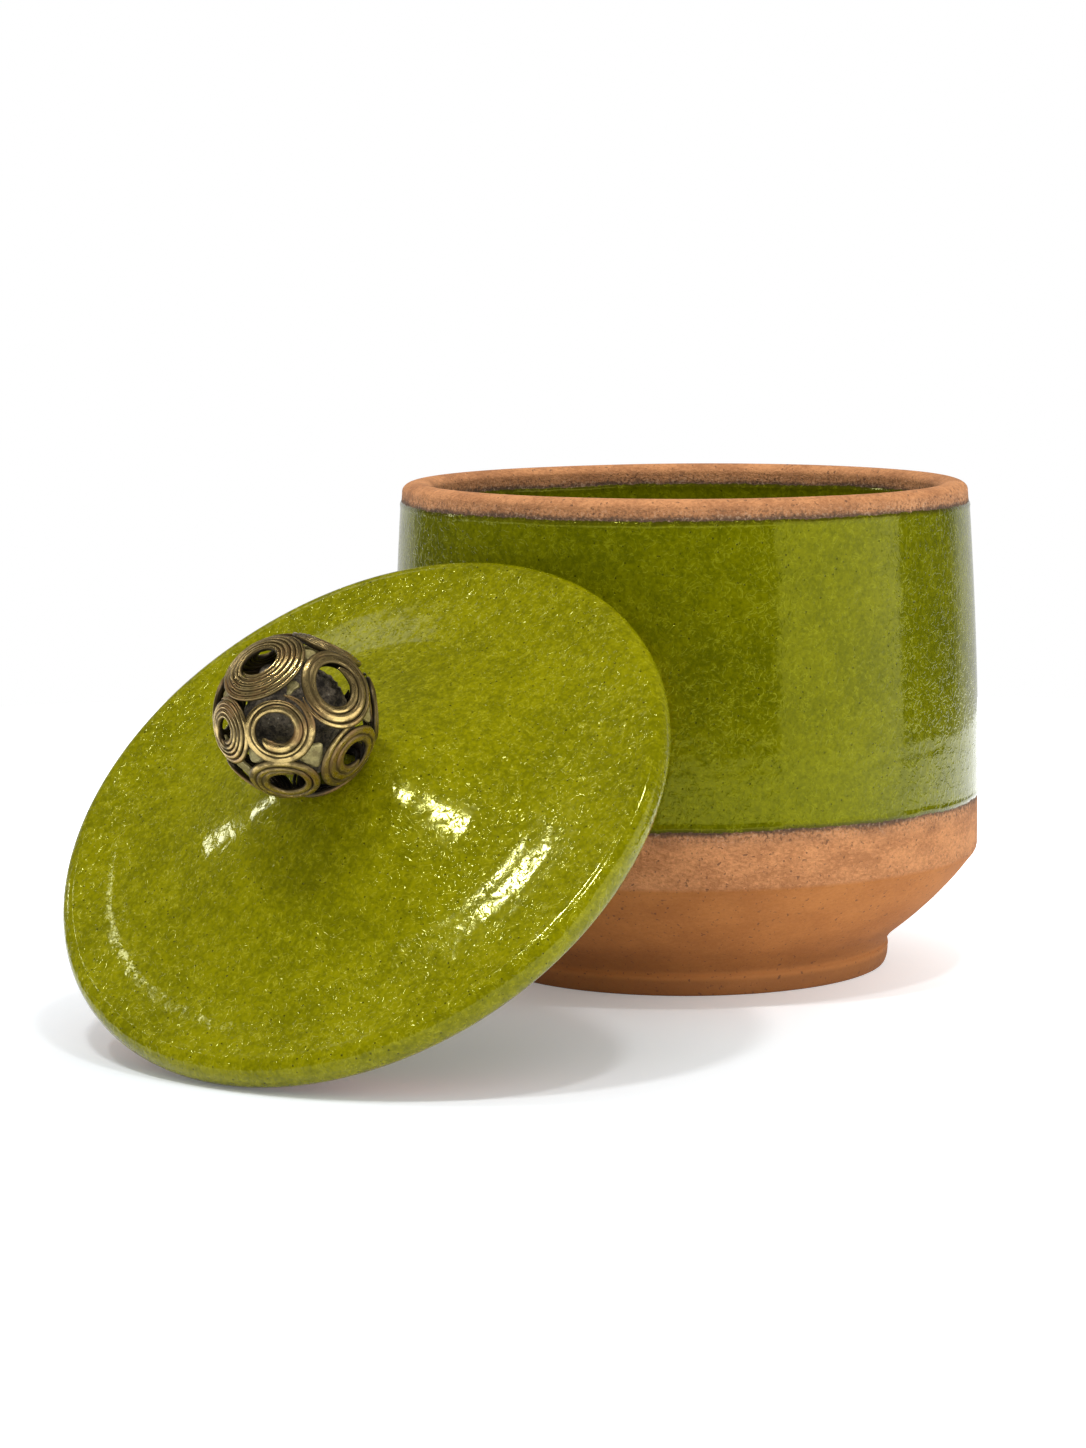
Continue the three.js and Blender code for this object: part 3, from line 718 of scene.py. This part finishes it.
# %% Lump
LUMP_RADIUS = 10.6
LUMP_WIDER = 1.3
LUMP_LOWER = 1.2
LUMP_TOP = 3.6
LUMP_FOOT = 2.6
LUMP_WAVES = ((5, 0.18), (9, 0.144), (16, 0.12), (27, 0.088), (44, 0.052))
WAVES_OF_EACH = 7
LUMP_RINGS = 120
LUMP_COLUMNS = 180
polar = np.linspace(0.02, math.pi - 0.02, LUMP_RINGS)[:, None]
turn = (np.arange(LUMP_COLUMNS) * 2 * math.pi / LUMP_COLUMNS)[None, :]
unit = np.stack([np.sin(polar) * np.cos(turn), np.sin(polar) * np.sin(turn),
                 np.cos(polar) * np.ones_like(turn)], axis=-1).reshape(-1, 3)
dice = np.random.default_rng(57)
rough = np.zeros(len(unit))
for count, size in LUMP_WAVES:
    for _ in range(WAVES_OF_EACH):
        wave = dice.normal(size=3)
        wave *= count / np.linalg.norm(wave)
        rough += size * np.cos(unit @ wave + dice.uniform(0, 2 * math.pi))
along_axis = unit @ np.array(lid_axis)
aside = unit @ np.array(VIEW_RIGHT)
upright = np.clip(unit @ np.array(VIEW_UP), 0, 1)
lump_radius = LUMP_RADIUS + rough + LUMP_WIDER * aside ** 2 - LUMP_LOWER * upright ** 2
lump_radius += LUMP_FOOT * np.clip(-along_axis, 0, 1) ** 2 + LUMP_TOP * np.clip(along_axis, 0, 1) ** 5
lump_points = unit * lump_radius[:, None] + np.array(ball_centre) / MM
lump = make_piece("ball_lump", lump_points, tube_faces(LUMP_RINGS, LUMP_COLUMNS, flipped=True))

# %% [markdown]
# ## Green glaze
# A copper-green glaze is a sheet of coloured glass over clay. Light goes in, comes back green, and a
# thin white gloss lies on top. Real glass over clay would have to be traced through, which is slow and
# can't be baked, so one Principled shader stands for both. In the photo the gloss is yellowish except
# where it is burnt out, so the specular tint takes most of the blue out of it. Over that come clouds
# of thicker and thinner glaze, fine mottling, dark pinholes, and the small curls that break up each
# highlight. Heights are in mm.


# %% Glaze
THIN_GLAZE = (0.050, 0.042, 0.004)
PINHOLE = (0.016, 0.019, 0.001)
CURL_HEIGHT = 0.050
PEEL_HEIGHT = 0.09
GRAIN_HEIGHT = 0.006
PIT_DEPTH = 0.07
FRECKLE_DEPTH = 0.06


def green_glaze(paint, where, inside, deep, pale, lip_colour, gloss, crinkling):
    """The glazed surface, with its colour and its relief."""
    clouds = paint.noise(where, 10.0, 4.0, 0.55)
    mottle = paint.noise(where, 1.5, 3.0, 0.6)
    fine = paint.noise(where, 0.50, 2.0, 0.6)
    chosen = paint.step(paint.noise(where, 2.2, 1.0), 0.46, 0.56)
    pits = (1 - paint.step(paint.cells(where, 2.1), 0.07, 0.15)) * chosen
    freckles = (1 - paint.step(paint.cells(where, 2.3), 0.060, 0.135)) * paint.step(mottle, 0.42, 0.50)
    curls = paint.step(paint.noise(where, 1.1, 1.3, 0.5, 1.6), 0.50, 0.61)
    # Paler lines along the curls: partly the glaze breaking thinner over them, partly painted glints.
    lip = curls * (1 - curls) * 4.0 * paint.step(mottle, 0.40, 0.60)
    peel = paint.noise(where, 2.2, 1.5, 0.5, 0.4)

    depth = paint.step(clouds * 0.30 + mottle * 0.26 + fine * 0.44, 0.36, 0.64)
    green = paint.blend(depth, deep, pale)
    thin = 1 - paint.step(inside, 0.1, 1.5)
    green = paint.blend(thin * 0.85, green, THIN_GLAZE)
    green = paint.blend(paint.math("MAXIMUM", pits, freckles) * 0.80, green, PINHOLE)
    green = paint.blend(lip * 0.50, green, lip_colour)
    relief = (curls * CURL_HEIGHT + peel * PEEL_HEIGHT + fine * GRAIN_HEIGHT) * crinkling
    relief = relief - pits * PIT_DEPTH - freckles * FRECKLE_DEPTH
    return paint.shader(
        Base_Color=green, Roughness=0.05 + mottle * 0.07, IOR=1.5, Specular_Tint=gloss,
        Normal=paint.bump(relief),
    )


# %% [markdown]
# ## Bare clay
# Where the glaze stops, the clay is open and sandy: dull and bright grains, dark pores, crumbs of
# ground pot, smoke that darkens it towards the glaze and a scorched fringe right beside it, with pale
# specks there that are partly pale grains and partly painted glints. Below the shoulder it was turned
# with a blade, which leaves it smoother and browner; there it is painted darker towards the table as
# shade, and a paler line is painted along the ridge of the foot as its highlight.


# %% Clay
CLAY_BRIGHT = (0.74, 0.325, 0.122)
CLAY_DULL = (0.46, 0.180, 0.058)
CLAY_BROWN = (0.44, 0.150, 0.028)
CLAY_WARM = (0.58, 0.218, 0.048)
# Painted shade for the clay near the table.
CLAY_SHADED = (0.24, 0.092, 0.022)
CHAR = (0.060, 0.036, 0.020)
SMOKE = (0.27, 0.135, 0.065)
PORE = (0.11, 0.045, 0.020)
# Pale specks: partly pale grains, partly painted glints.
SALT_AND_GLINT = (0.80, 0.56, 0.36)
SAND_HEIGHT = 0.55
GROG_HEIGHT = 0.12
PORE_DEPTH = 0.20
TURNED_RELIEF = 0.2


def turned_clay(paint, level, broad, sand):
    """The smooth brown clay of cone and foot, painted darker towards the table as shade and paler along the
    foot's ridge as its highlight.
    """
    clay = paint.blend(paint.step(broad * 0.6 + sand * 0.4, 0.3, 0.7), CLAY_BROWN, CLAY_WARM)
    # Painted shade: the clay gets darker towards the table.
    low_shade = 1 - paint.step(level + (broad - 0.5) * 6.0, 1.0, 20.0)
    clay = paint.blend(low_shade * 0.65, clay, CLAY_SHADED)
    # Painted highlight: a paler line along the ridge of the foot.
    ridge_highlight = paint.step(level, 3.4, 4.6) * (1 - paint.step(level, 5.2, 6.4))
    return paint.blend(ridge_highlight * 0.5, clay, CLAY_WARM)


def burnt_clay(paint, where, outside, broad, sand, clay):
    """The clay beside the glaze: smoke, a scorched fringe, dark grains, and pale specks that are partly
    pale grains and partly painted glints.
    """
    smoke = (1 - paint.step(outside + (broad - 0.5) * 5.0, 0.0, 6.0)) * (0.2 + sand * 0.6)
    scorch = 1 - paint.step(outside + (broad - 0.5) * 2.4, 0.0, 1.5)
    near = 1 - paint.step(outside, 0.5, 4.5)
    specks = paint.noise(where, 0.40, 2.0, 0.6)
    clay = paint.blend(smoke * 0.7, clay, SMOKE)
    clay = paint.blend(scorch * 0.85, clay, CHAR)
    clay = paint.blend(paint.step(specks, 0.52, 0.62) * near * 0.6, clay, CHAR)
    # Pale specks near the glaze: partly pale grains, partly painted glints.
    return paint.blend((1 - paint.step(specks, 0.36, 0.44)) * near * 0.25, clay, SALT_AND_GLINT)


def bare_clay(paint, where, inside, smooth_below):
    """The clay surface, smooth below a height in mm where the piece was turned."""
    grain = paint.noise(where, 0.35, 2.0)
    broad = paint.noise(paint.stretch(where, (1.0, 1.0, 2.2)), 7.0, 5.0, 0.6)
    sand = paint.noise(paint.stretch(where, (1.0, 1.0, 1.8)), 0.6, 4.0, 0.68)
    grog = 1 - paint.step(paint.cells(where, 1.7), 0.05, 0.2)
    pores = paint.step(paint.noise(where, 0.5, 1.0), 0.64, 0.72) * paint.step(sand, 0.42, 0.56)
    clay = paint.blend(paint.step(broad * 0.5 + sand * 0.5, 0.38, 0.62), CLAY_DULL, CLAY_BRIGHT)
    relief = sand * SAND_HEIGHT + grog * GROG_HEIGHT - pores * PORE_DEPTH
    if smooth_below:
        level = paint.add("ShaderNodeSeparateXYZ", None, {0: where}, output=2)
        coarse = paint.step(level, smooth_below - 0.6, smooth_below + 0.6)
        clay = paint.blend(coarse, turned_clay(paint, level, broad, sand), clay)
        relief = relief * (TURNED_RELIEF + coarse * (1 - TURNED_RELIEF))
    clay = burnt_clay(paint, where, inside * -1.0, broad, sand, clay)
    clay = paint.blend(pores * 0.7, clay, PORE)
    return paint.shader(Base_Color=clay, Roughness=0.85 - grain * 0.15, Normal=paint.bump(relief))


# %% [markdown]
# ## Where glaze and clay meet
# Both finishes lie in one surface, so they are in one material: a Mix Shader reads the distance inside
# the glaze, and a little noise frays the line. Two materials on the faces would part along the grid
# instead. The jar is darker than the lid, as its glaze lies thicker.


# %% Pot and lid finishes
FRAY = 1.1


def glazed_clay(name, smooth_below, **glaze):
    """Green glaze and bare clay, parted by the value 'glaze' on the points."""
    paint = Paint(name)
    where = paint.place()
    inside = paint.attribute("glaze") + (paint.noise(where, 0.7, 4.0, 0.6) - 0.5) * FRAY
    glazed = paint.step(inside, -0.12, 0.12)
    earth = bare_clay(paint, where, inside, smooth_below)
    glass = green_glaze(paint, where, inside, **glaze)
    return paint.output(paint.add("ShaderNodeMixShader", None, {0: glazed, 1: earth, 2: glass}))


# The lip colours are partly glaze breaking paler over the curls and partly painted glints.
jar_finish = glazed_clay(
    "jar_glaze_and_clay", smooth_below=30.2, deep=(0.090, 0.098, 0.0004), pale=(0.170, 0.172, 0.0006),
    lip_colour=(0.26, 0.27, 0.01), gloss=(1.0, 1.0, 0.12, 1.0), crinkling=0.7,
)
lid_finish = glazed_clay(
    "lid_glaze_and_clay", smooth_below=0.0, deep=(0.148, 0.147, 0.0004), pale=(0.270, 0.256, 0.0006),
    lip_colour=(0.42, 0.40, 0.02), gloss=(1.0, 1.0, 0.30, 1.0), crinkling=1.0,
)
finish_piece(pot, jar_finish, "jar", "jar_stoneware", "jar_body")
finish_piece(lid, lid_finish, "lid", "lid_glaze", "lid_body")

# %% [markdown]
# ## Old brass
# The wire is painted bright on top of each round, partly where hands rubbed it and partly as a painted
# highlight, and nearly black down its sides as painted shade in the grooves. The value 'crest' is 1 on
# top of each round of wire and falls to 0 at its sides, so it says where the crests and grooves lie.
# Fine lines run along the wire, from drawing and filing it, so they follow the value 'across'.


# %% Brass
# The crest colour: partly rubbed brass, partly a painted highlight.
BRASS_BRIGHT = (0.66, 0.48, 0.19)
BRASS_DULL = (0.150, 0.106, 0.038)
BRASS_WARM = (0.40, 0.21, 0.08)
# Painted shade for the grooves between the rounds of wire.
GROOVE_SHADE = (0.020, 0.014, 0.007)


def old_brass(name):
    """Wire painted bright on its crests, part wear and part highlight, and painted nearly black as shade in
    its grooves.
    """
    paint = Paint(name)
    where = paint.place()
    crest = paint.attribute("crest")
    across = paint.attribute("across")
    blotch = paint.noise(where, 1.8, 4.0, 0.6)
    fine = paint.noise(where, 0.3, 3.0, 0.6)
    lines = paint.add("ShaderNodeCombineXYZ", None, {0: across * 4.0, 1: blotch * 2.0})
    drawn = paint.add("ShaderNodeTexNoise", None, {"Vector": lines, "Scale": 1.0, "Detail": 2.0})
    # Bright crests: partly rubbed wear, partly a painted highlight on top of each round.
    rubbed_and_highlit = paint.step(crest + (blotch - 0.5) * 1.3 + (drawn - 0.5) * 0.7, 0.76, 1.14)
    metal = paint.blend(rubbed_and_highlit, BRASS_DULL, BRASS_BRIGHT)
    warm = paint.step(paint.noise(where, 4.5, 2.0), 0.52, 0.68)
    metal = paint.blend(warm * 0.4, metal, BRASS_WARM)
    # Painted shade: the sides of each round, down in the grooves, go nearly black.
    groove_shade = 1 - paint.step(crest + (fine - 0.5) * 0.5, -0.1, 0.72)
    metal = paint.blend(groove_shade * 0.92, metal, GROOVE_SHADE)
    relief = drawn * 0.05 + fine * 0.03 + blotch * 0.06
    return paint.output(paint.shader(
        Base_Color=metal, Metallic=0.75 + rubbed_and_highlit * 0.25, Roughness=0.42 - rubbed_and_highlit * 0.22,
        Normal=paint.bump(relief),
    ))


brass = old_brass("old_brass")
for node, coil in coils.items():
    finish_piece(coil, brass, "lid", "knob_brass", node)

# %% [markdown]
# The webs of braze between the coils are paler and greener than the wire, and grainy, because they
# were never polished. The lump is nearly black, with pale crumbs caught on it. One recipe of two
# colours, with crumbs strewn over them, serves both, and later the fibre pad too.


# %% Braze and filling
def grainy(name, dark, light, crumbs, metallic, roughness, size, relief):
    """A patchy, grainy surface with crumbs on it. Size and relief are in mm."""
    paint = Paint(name)
    where = paint.place()
    patch = paint.noise(where, size, 4.0, 0.65)
    fine = paint.noise(where, 0.25, 3.0, 0.7)
    base = paint.blend(paint.step(patch * 0.6 + fine * 0.4, 0.38, 0.62), dark, light)
    bits = (1 - paint.step(paint.cells(where, 1.1), 0.10, 0.26)) * paint.step(patch, 0.5, 0.62)
    base = paint.blend(bits * 0.8, base, crumbs)
    return paint.output(paint.shader(
        Base_Color=base, Metallic=metallic, Roughness=roughness,
        Normal=paint.bump(fine * relief + bits * (relief * 0.6)),
    ))


braze = grainy(
    "braze", dark=(0.25, 0.195, 0.070), light=(0.50, 0.42, 0.17), crumbs=(0.09, 0.07, 0.03),
    metallic=0.3, roughness=0.42, size=0.8, relief=0.05,
)
filling = grainy(
    "dark_filling", dark=(0.034, 0.027, 0.018), light=(0.26, 0.21, 0.14), crumbs=(0.80, 0.72, 0.55),
    metallic=0.0, roughness=0.8, size=1.1, relief=0.20,
)
finish_piece(lump, filling, "lid", "knob_filling", "knob_core", "knob_filler")

# %% [markdown]
# ## The fixing
# Screw, washer and nut are plain zinc-plated steel, turned and tumbled, and the pad is red fibre.
# They are small and their CAD shapes are right, so they stay and get a finish.

# %% Fixing
STEEL_CLEAN = (0.60, 0.61, 0.62)
STEEL_STAINED = (0.38, 0.38, 0.37)


def plain_steel(name):
    """Plated steel with stains and faint streaks."""
    paint = Paint(name)
    where = paint.place()
    streaks = paint.noise(paint.stretch(where, (1.0, 1.0, 5.0)), 0.8, 4.0, 0.6)
    dirt = paint.noise(where, 2.2, 3.0)
    base = paint.blend(paint.step(dirt, 0.4, 0.7), STEEL_CLEAN, STEEL_STAINED)
    return paint.output(paint.shader(
        Base_Color=base, Metallic=1.0, Roughness=0.26 + streaks * 0.24,
        Normal=paint.bump(streaks * 0.02),
    ))


def repaint(node, material):
    """A CAD node that stays takes a new finish."""
    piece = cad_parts[node]
    piece.data.materials.clear()
    piece.data.materials.append(material)


steel = plain_steel("zinc_steel")
fibre = grainy(
    "red_fibre", dark=(0.17, 0.055, 0.035), light=(0.27, 0.095, 0.06), crumbs=(0.12, 0.04, 0.03),
    metallic=0.0, roughness=0.7, size=1.4, relief=0.12,
)
for node in ("fixing_screw", "fixing_nut", "fixing_washer"):
    repaint(node, steel)
repaint("fixing_pad", fibre)
print("the fixing has its finish")

# %% [markdown]
# ## Webs of braze
# The webs between the coils are puddles of braze. In the CAD each is a flat plate with straight sides.
# Braze has none: it pulls itself round and climbs a little up the wires that it wets. So each web keeps
# the outline of its plate, rounded, and gets a soft section: from the middle of its top, over the edge,
# to the middle of its underside.

# %% Webs
WEB_SAG = 0.30
WEB_CLIMB = 0.35
WEB_ROUGH = 0.05
WEB_RINGS = 16
WEB_COLUMNS = 60
EDGE_SAMPLES = 40


def web_piece(node, seed):
    """The CAD web as a soft puddle in the same place."""
    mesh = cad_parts[node].data
    points = np.array([vertex.co for vertex in mesh.vertices]) / MM
    ends = np.array([edge.vertices[:] for edge in mesh.edges])
    share = np.linspace(0, 1, EDGE_SAMPLES)[:, None, None]
    lines = (points[ends[:, 0]] * (1 - share) + points[ends[:, 1]] * share).reshape(-1, 3)
    middle = (points.max(axis=0) + points.min(axis=0)) / 2
    normal = (Vector(middle * MM) - ball_centre).normalized()
    aside = normal.orthogonal().normalized()
    basis = np.array([aside, normal.cross(aside), normal])
    local = (lines - middle) @ basis.T
    reach = np.hypot(local[:, 0], local[:, 1])
    turned = np.arctan2(local[:, 1], local[:, 0]) / (2 * math.pi) + 1
    column = np.floor(turned * WEB_COLUMNS).astype(int)
    edge = np.zeros(WEB_COLUMNS)
    np.maximum.at(edge, column % WEB_COLUMNS, reach)
    for _ in range(4):
        edge = (np.roll(edge, 1) + 2 * edge + np.roll(edge, -1)) / 4
    half = np.ptp(local[:, 2]) / 2
    section = np.linspace(0.03, 0.97, WEB_RINGS)[:, None] * math.pi
    outwards = np.sin(section) ** 0.5
    upwards = np.sign(np.cos(section)) * np.abs(np.cos(section)) ** 0.8
    turn = (np.arange(WEB_COLUMNS) * 2 * math.pi / WEB_COLUMNS)[None, :]
    dice = np.random.default_rng(seed)
    skin = np.zeros_like(section + turn)
    for count in (1, 2, 3, 5):
        skin += np.cos(count * turn + dice.uniform(0, 6)) * np.cos(count * 2 * section + dice.uniform(0, 6))
    high = half * upwards * (0.7 + WEB_CLIMB * outwards ** 4) + WEB_ROUGH * skin * outwards - WEB_SAG
    flat = edge * outwards
    puddle = np.stack([flat * np.cos(turn), flat * np.sin(turn), high], axis=-1).reshape(-1, 3)
    faces = tube_faces(WEB_RINGS, WEB_COLUMNS, flipped=True)
    return make_piece(node.replace("knob", "ball"), puddle @ basis + middle, faces)


web_nodes = [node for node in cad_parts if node.startswith("knob_web_")]
for number, node in enumerate(web_nodes):
    finish_piece(web_piece(node, number), braze, "lid", "knob_solder", node)

# %% [markdown]
# ## Floor and light
# The object stands on a white sweep, as on a photographer's table. A real sweep is lit until it burns
# out to white. Here the floor glows white by itself for the camera and the mirroring glaze, and only
# its own grey counts elsewhere. Close to the leaning lid the glow fades out, which paints a darker
# pool of shadow round it on top of the rendered contact shadow under it.

# %% Floor
FLOOR_RADIUS = 0.62
FLOOR_SIDES = 96
FLOOR_MIDDLE = (-0.06, 0.0, 0.0)
UNDER_LID = (-0.13, 0.003, 0.0)
BLACK = (0.0, 0.0, 0.0)
WHITE = (1.0, 1.0, 1.0)
NEAR_GLOW = 0.07
FLOOR_GREY = (0.845, 0.88, 0.91, 1.0)
floor_mesh = bpy.data.meshes.new("floor")
turns = np.arange(FLOOR_SIDES) * 2 * math.pi / FLOOR_SIDES
floor_corners = np.column_stack([FLOOR_MIDDLE[0] + FLOOR_RADIUS * np.cos(turns),
                                 FLOOR_MIDDLE[1] + FLOOR_RADIUS * np.sin(turns), 0 * turns])
floor_mesh.from_pydata(floor_corners.tolist(), [], [list(range(FLOOR_SIDES))])
floor = bpy.data.objects.new("floor", floor_mesh)
scene.collection.objects.link(floor)
paint = Paint("white_sweep")
rays, mirror_rays, clear_rays = [paint.add("ShaderNodeLightPath", output=k) for k in (0, 3, 6)]
seen = paint.math("MINIMUM", rays + mirror_rays + clear_rays, 1.0)
here = paint.add("ShaderNodeNewGeometry")
far = paint.add("ShaderNodeVectorMath", {"operation": "DISTANCE"}, {0: here, 1: UNDER_LID}, output=1)
# Painted shadow: the glow fades out towards the lid, so the floor round it is darker.
edge = paint.step(far, 0.02, 0.34)
glow_with_painted_shadow = NEAR_GLOW + edge * (1 - NEAR_GLOW)
floor_mesh.materials.append(paint.output(paint.shader(
    Base_Color=FLOOR_GREY, Roughness=1.0, Specular_IOR_Level=0.0,
    Emission_Color=paint.blend(seen * glow_with_painted_shadow, BLACK, WHITE), Emission_Strength=1.0,
)))

# %% [markdown]
# The air round the object is white to the camera and lights it from all sides at a plain level. What
# the glaze mirrors is another matter: a dim room with one bright backdrop, low behind the object, so
# the sheen is strongest where one looks along a surface. With a white room all round, the glaze would
# turn milky.

# %% World
AMBIENT = 0.62
ROOM = 0.06
BACKDROP = 0.74
TO_BACKDROP = (math.cos(math.radians(34)), math.sin(math.radians(34)), 0.0)
world = bpy.data.worlds.new("studio")
scene.world = world
sky = Paint("studio", world)
is_camera, is_glossy, is_clear = [sky.add("ShaderNodeLightPath", output=k) for k in (0, 3, 6)]
toward = sky.add("ShaderNodeTexCoord", output=0)
facing = sky.add("ShaderNodeVectorMath", {"operation": "DOT_PRODUCT"},
                 {0: toward, 1: TO_BACKDROP}, output=1)
raised = sky.add("ShaderNodeSeparateXYZ", None, {0: toward}, output=2)
backdrop = sky.step(facing, 0.62, 0.84) * (1 - sky.step(raised, 0.14, 0.45))
mirrored = ROOM + (BACKDROP - ROOM) * backdrop
seen_white = sky.math("MAXIMUM", is_camera, is_clear)
strength = seen_white + (1 - seen_white) * (is_glossy * mirrored + (1 - is_glossy) * AMBIENT)
air_colour = sky.blend(strength, BLACK, WHITE)
lit_air = sky.add("ShaderNodeBackground", None, {"Color": air_colour, "Strength": 1.0})
sky.output(lit_air, "ShaderNodeOutputWorld")

# %% [markdown]
# Each lamp stands for a window or a panel that shows as a highlight in the photo. A lamp's direction
# was worked out from where its highlight lies and how the surface faces there, and its size from the
# highlight's shape. Soft panels were used, because a bare bulb would leave pin-sharp dots.

# %% Lamps
JAR_AIM = (0.0, 0.0, 0.06)
LID_AIM = (-0.13, 0.0, 0.06)
NEAR = 0.60
FAR = 1.2


def lamp(name, azimuth, elevation, distance, size, power, aim):
    """A soft panel that faces the object from a direction, in degrees, metres and watts."""
    light = bpy.data.lights.new(name, "AREA")
    light.shape = "RECTANGLE"
    light.size, light.size_y = size
    light.energy = power
    piece = bpy.data.objects.new(name, light)
    scene.collection.objects.link(piece)
    a, e = math.radians(azimuth), math.radians(elevation)
    toward = Vector((math.cos(a) * math.cos(e), math.sin(a) * math.cos(e), math.sin(e)))
    piece.location = Vector(aim) + toward * distance
    piece.rotation_euler = toward.to_track_quat("Z", "Y").to_euler()
    piece.visible_camera = False
    print(f"{name}: {power} W from {azimuth} degrees round and {elevation} up")


lamp("right_panel", 276, 6, NEAR, (0.62, 0.55), 1.85, JAR_AIM)
lamp("top_window", 180, 69, FAR, (0.11, 0.11), 3.8, LID_AIM)
lamp("side_window", 123, 62, FAR, (0.10, 0.06), 1.8, LID_AIM)
lamp("left_window", 97, 25, FAR, (0.05, 0.09), 0.22, LID_AIM)
lamp("back_window", 107, 47, FAR, (0.04, 0.04), 0.07, LID_AIM)
lamp("high_window", 259, 73, FAR, (0.14, 0.07), 2.4, LID_AIM)
lamp("soft_sky", 83, 49, FAR, (0.25, 0.20), 0.22, LID_AIM)
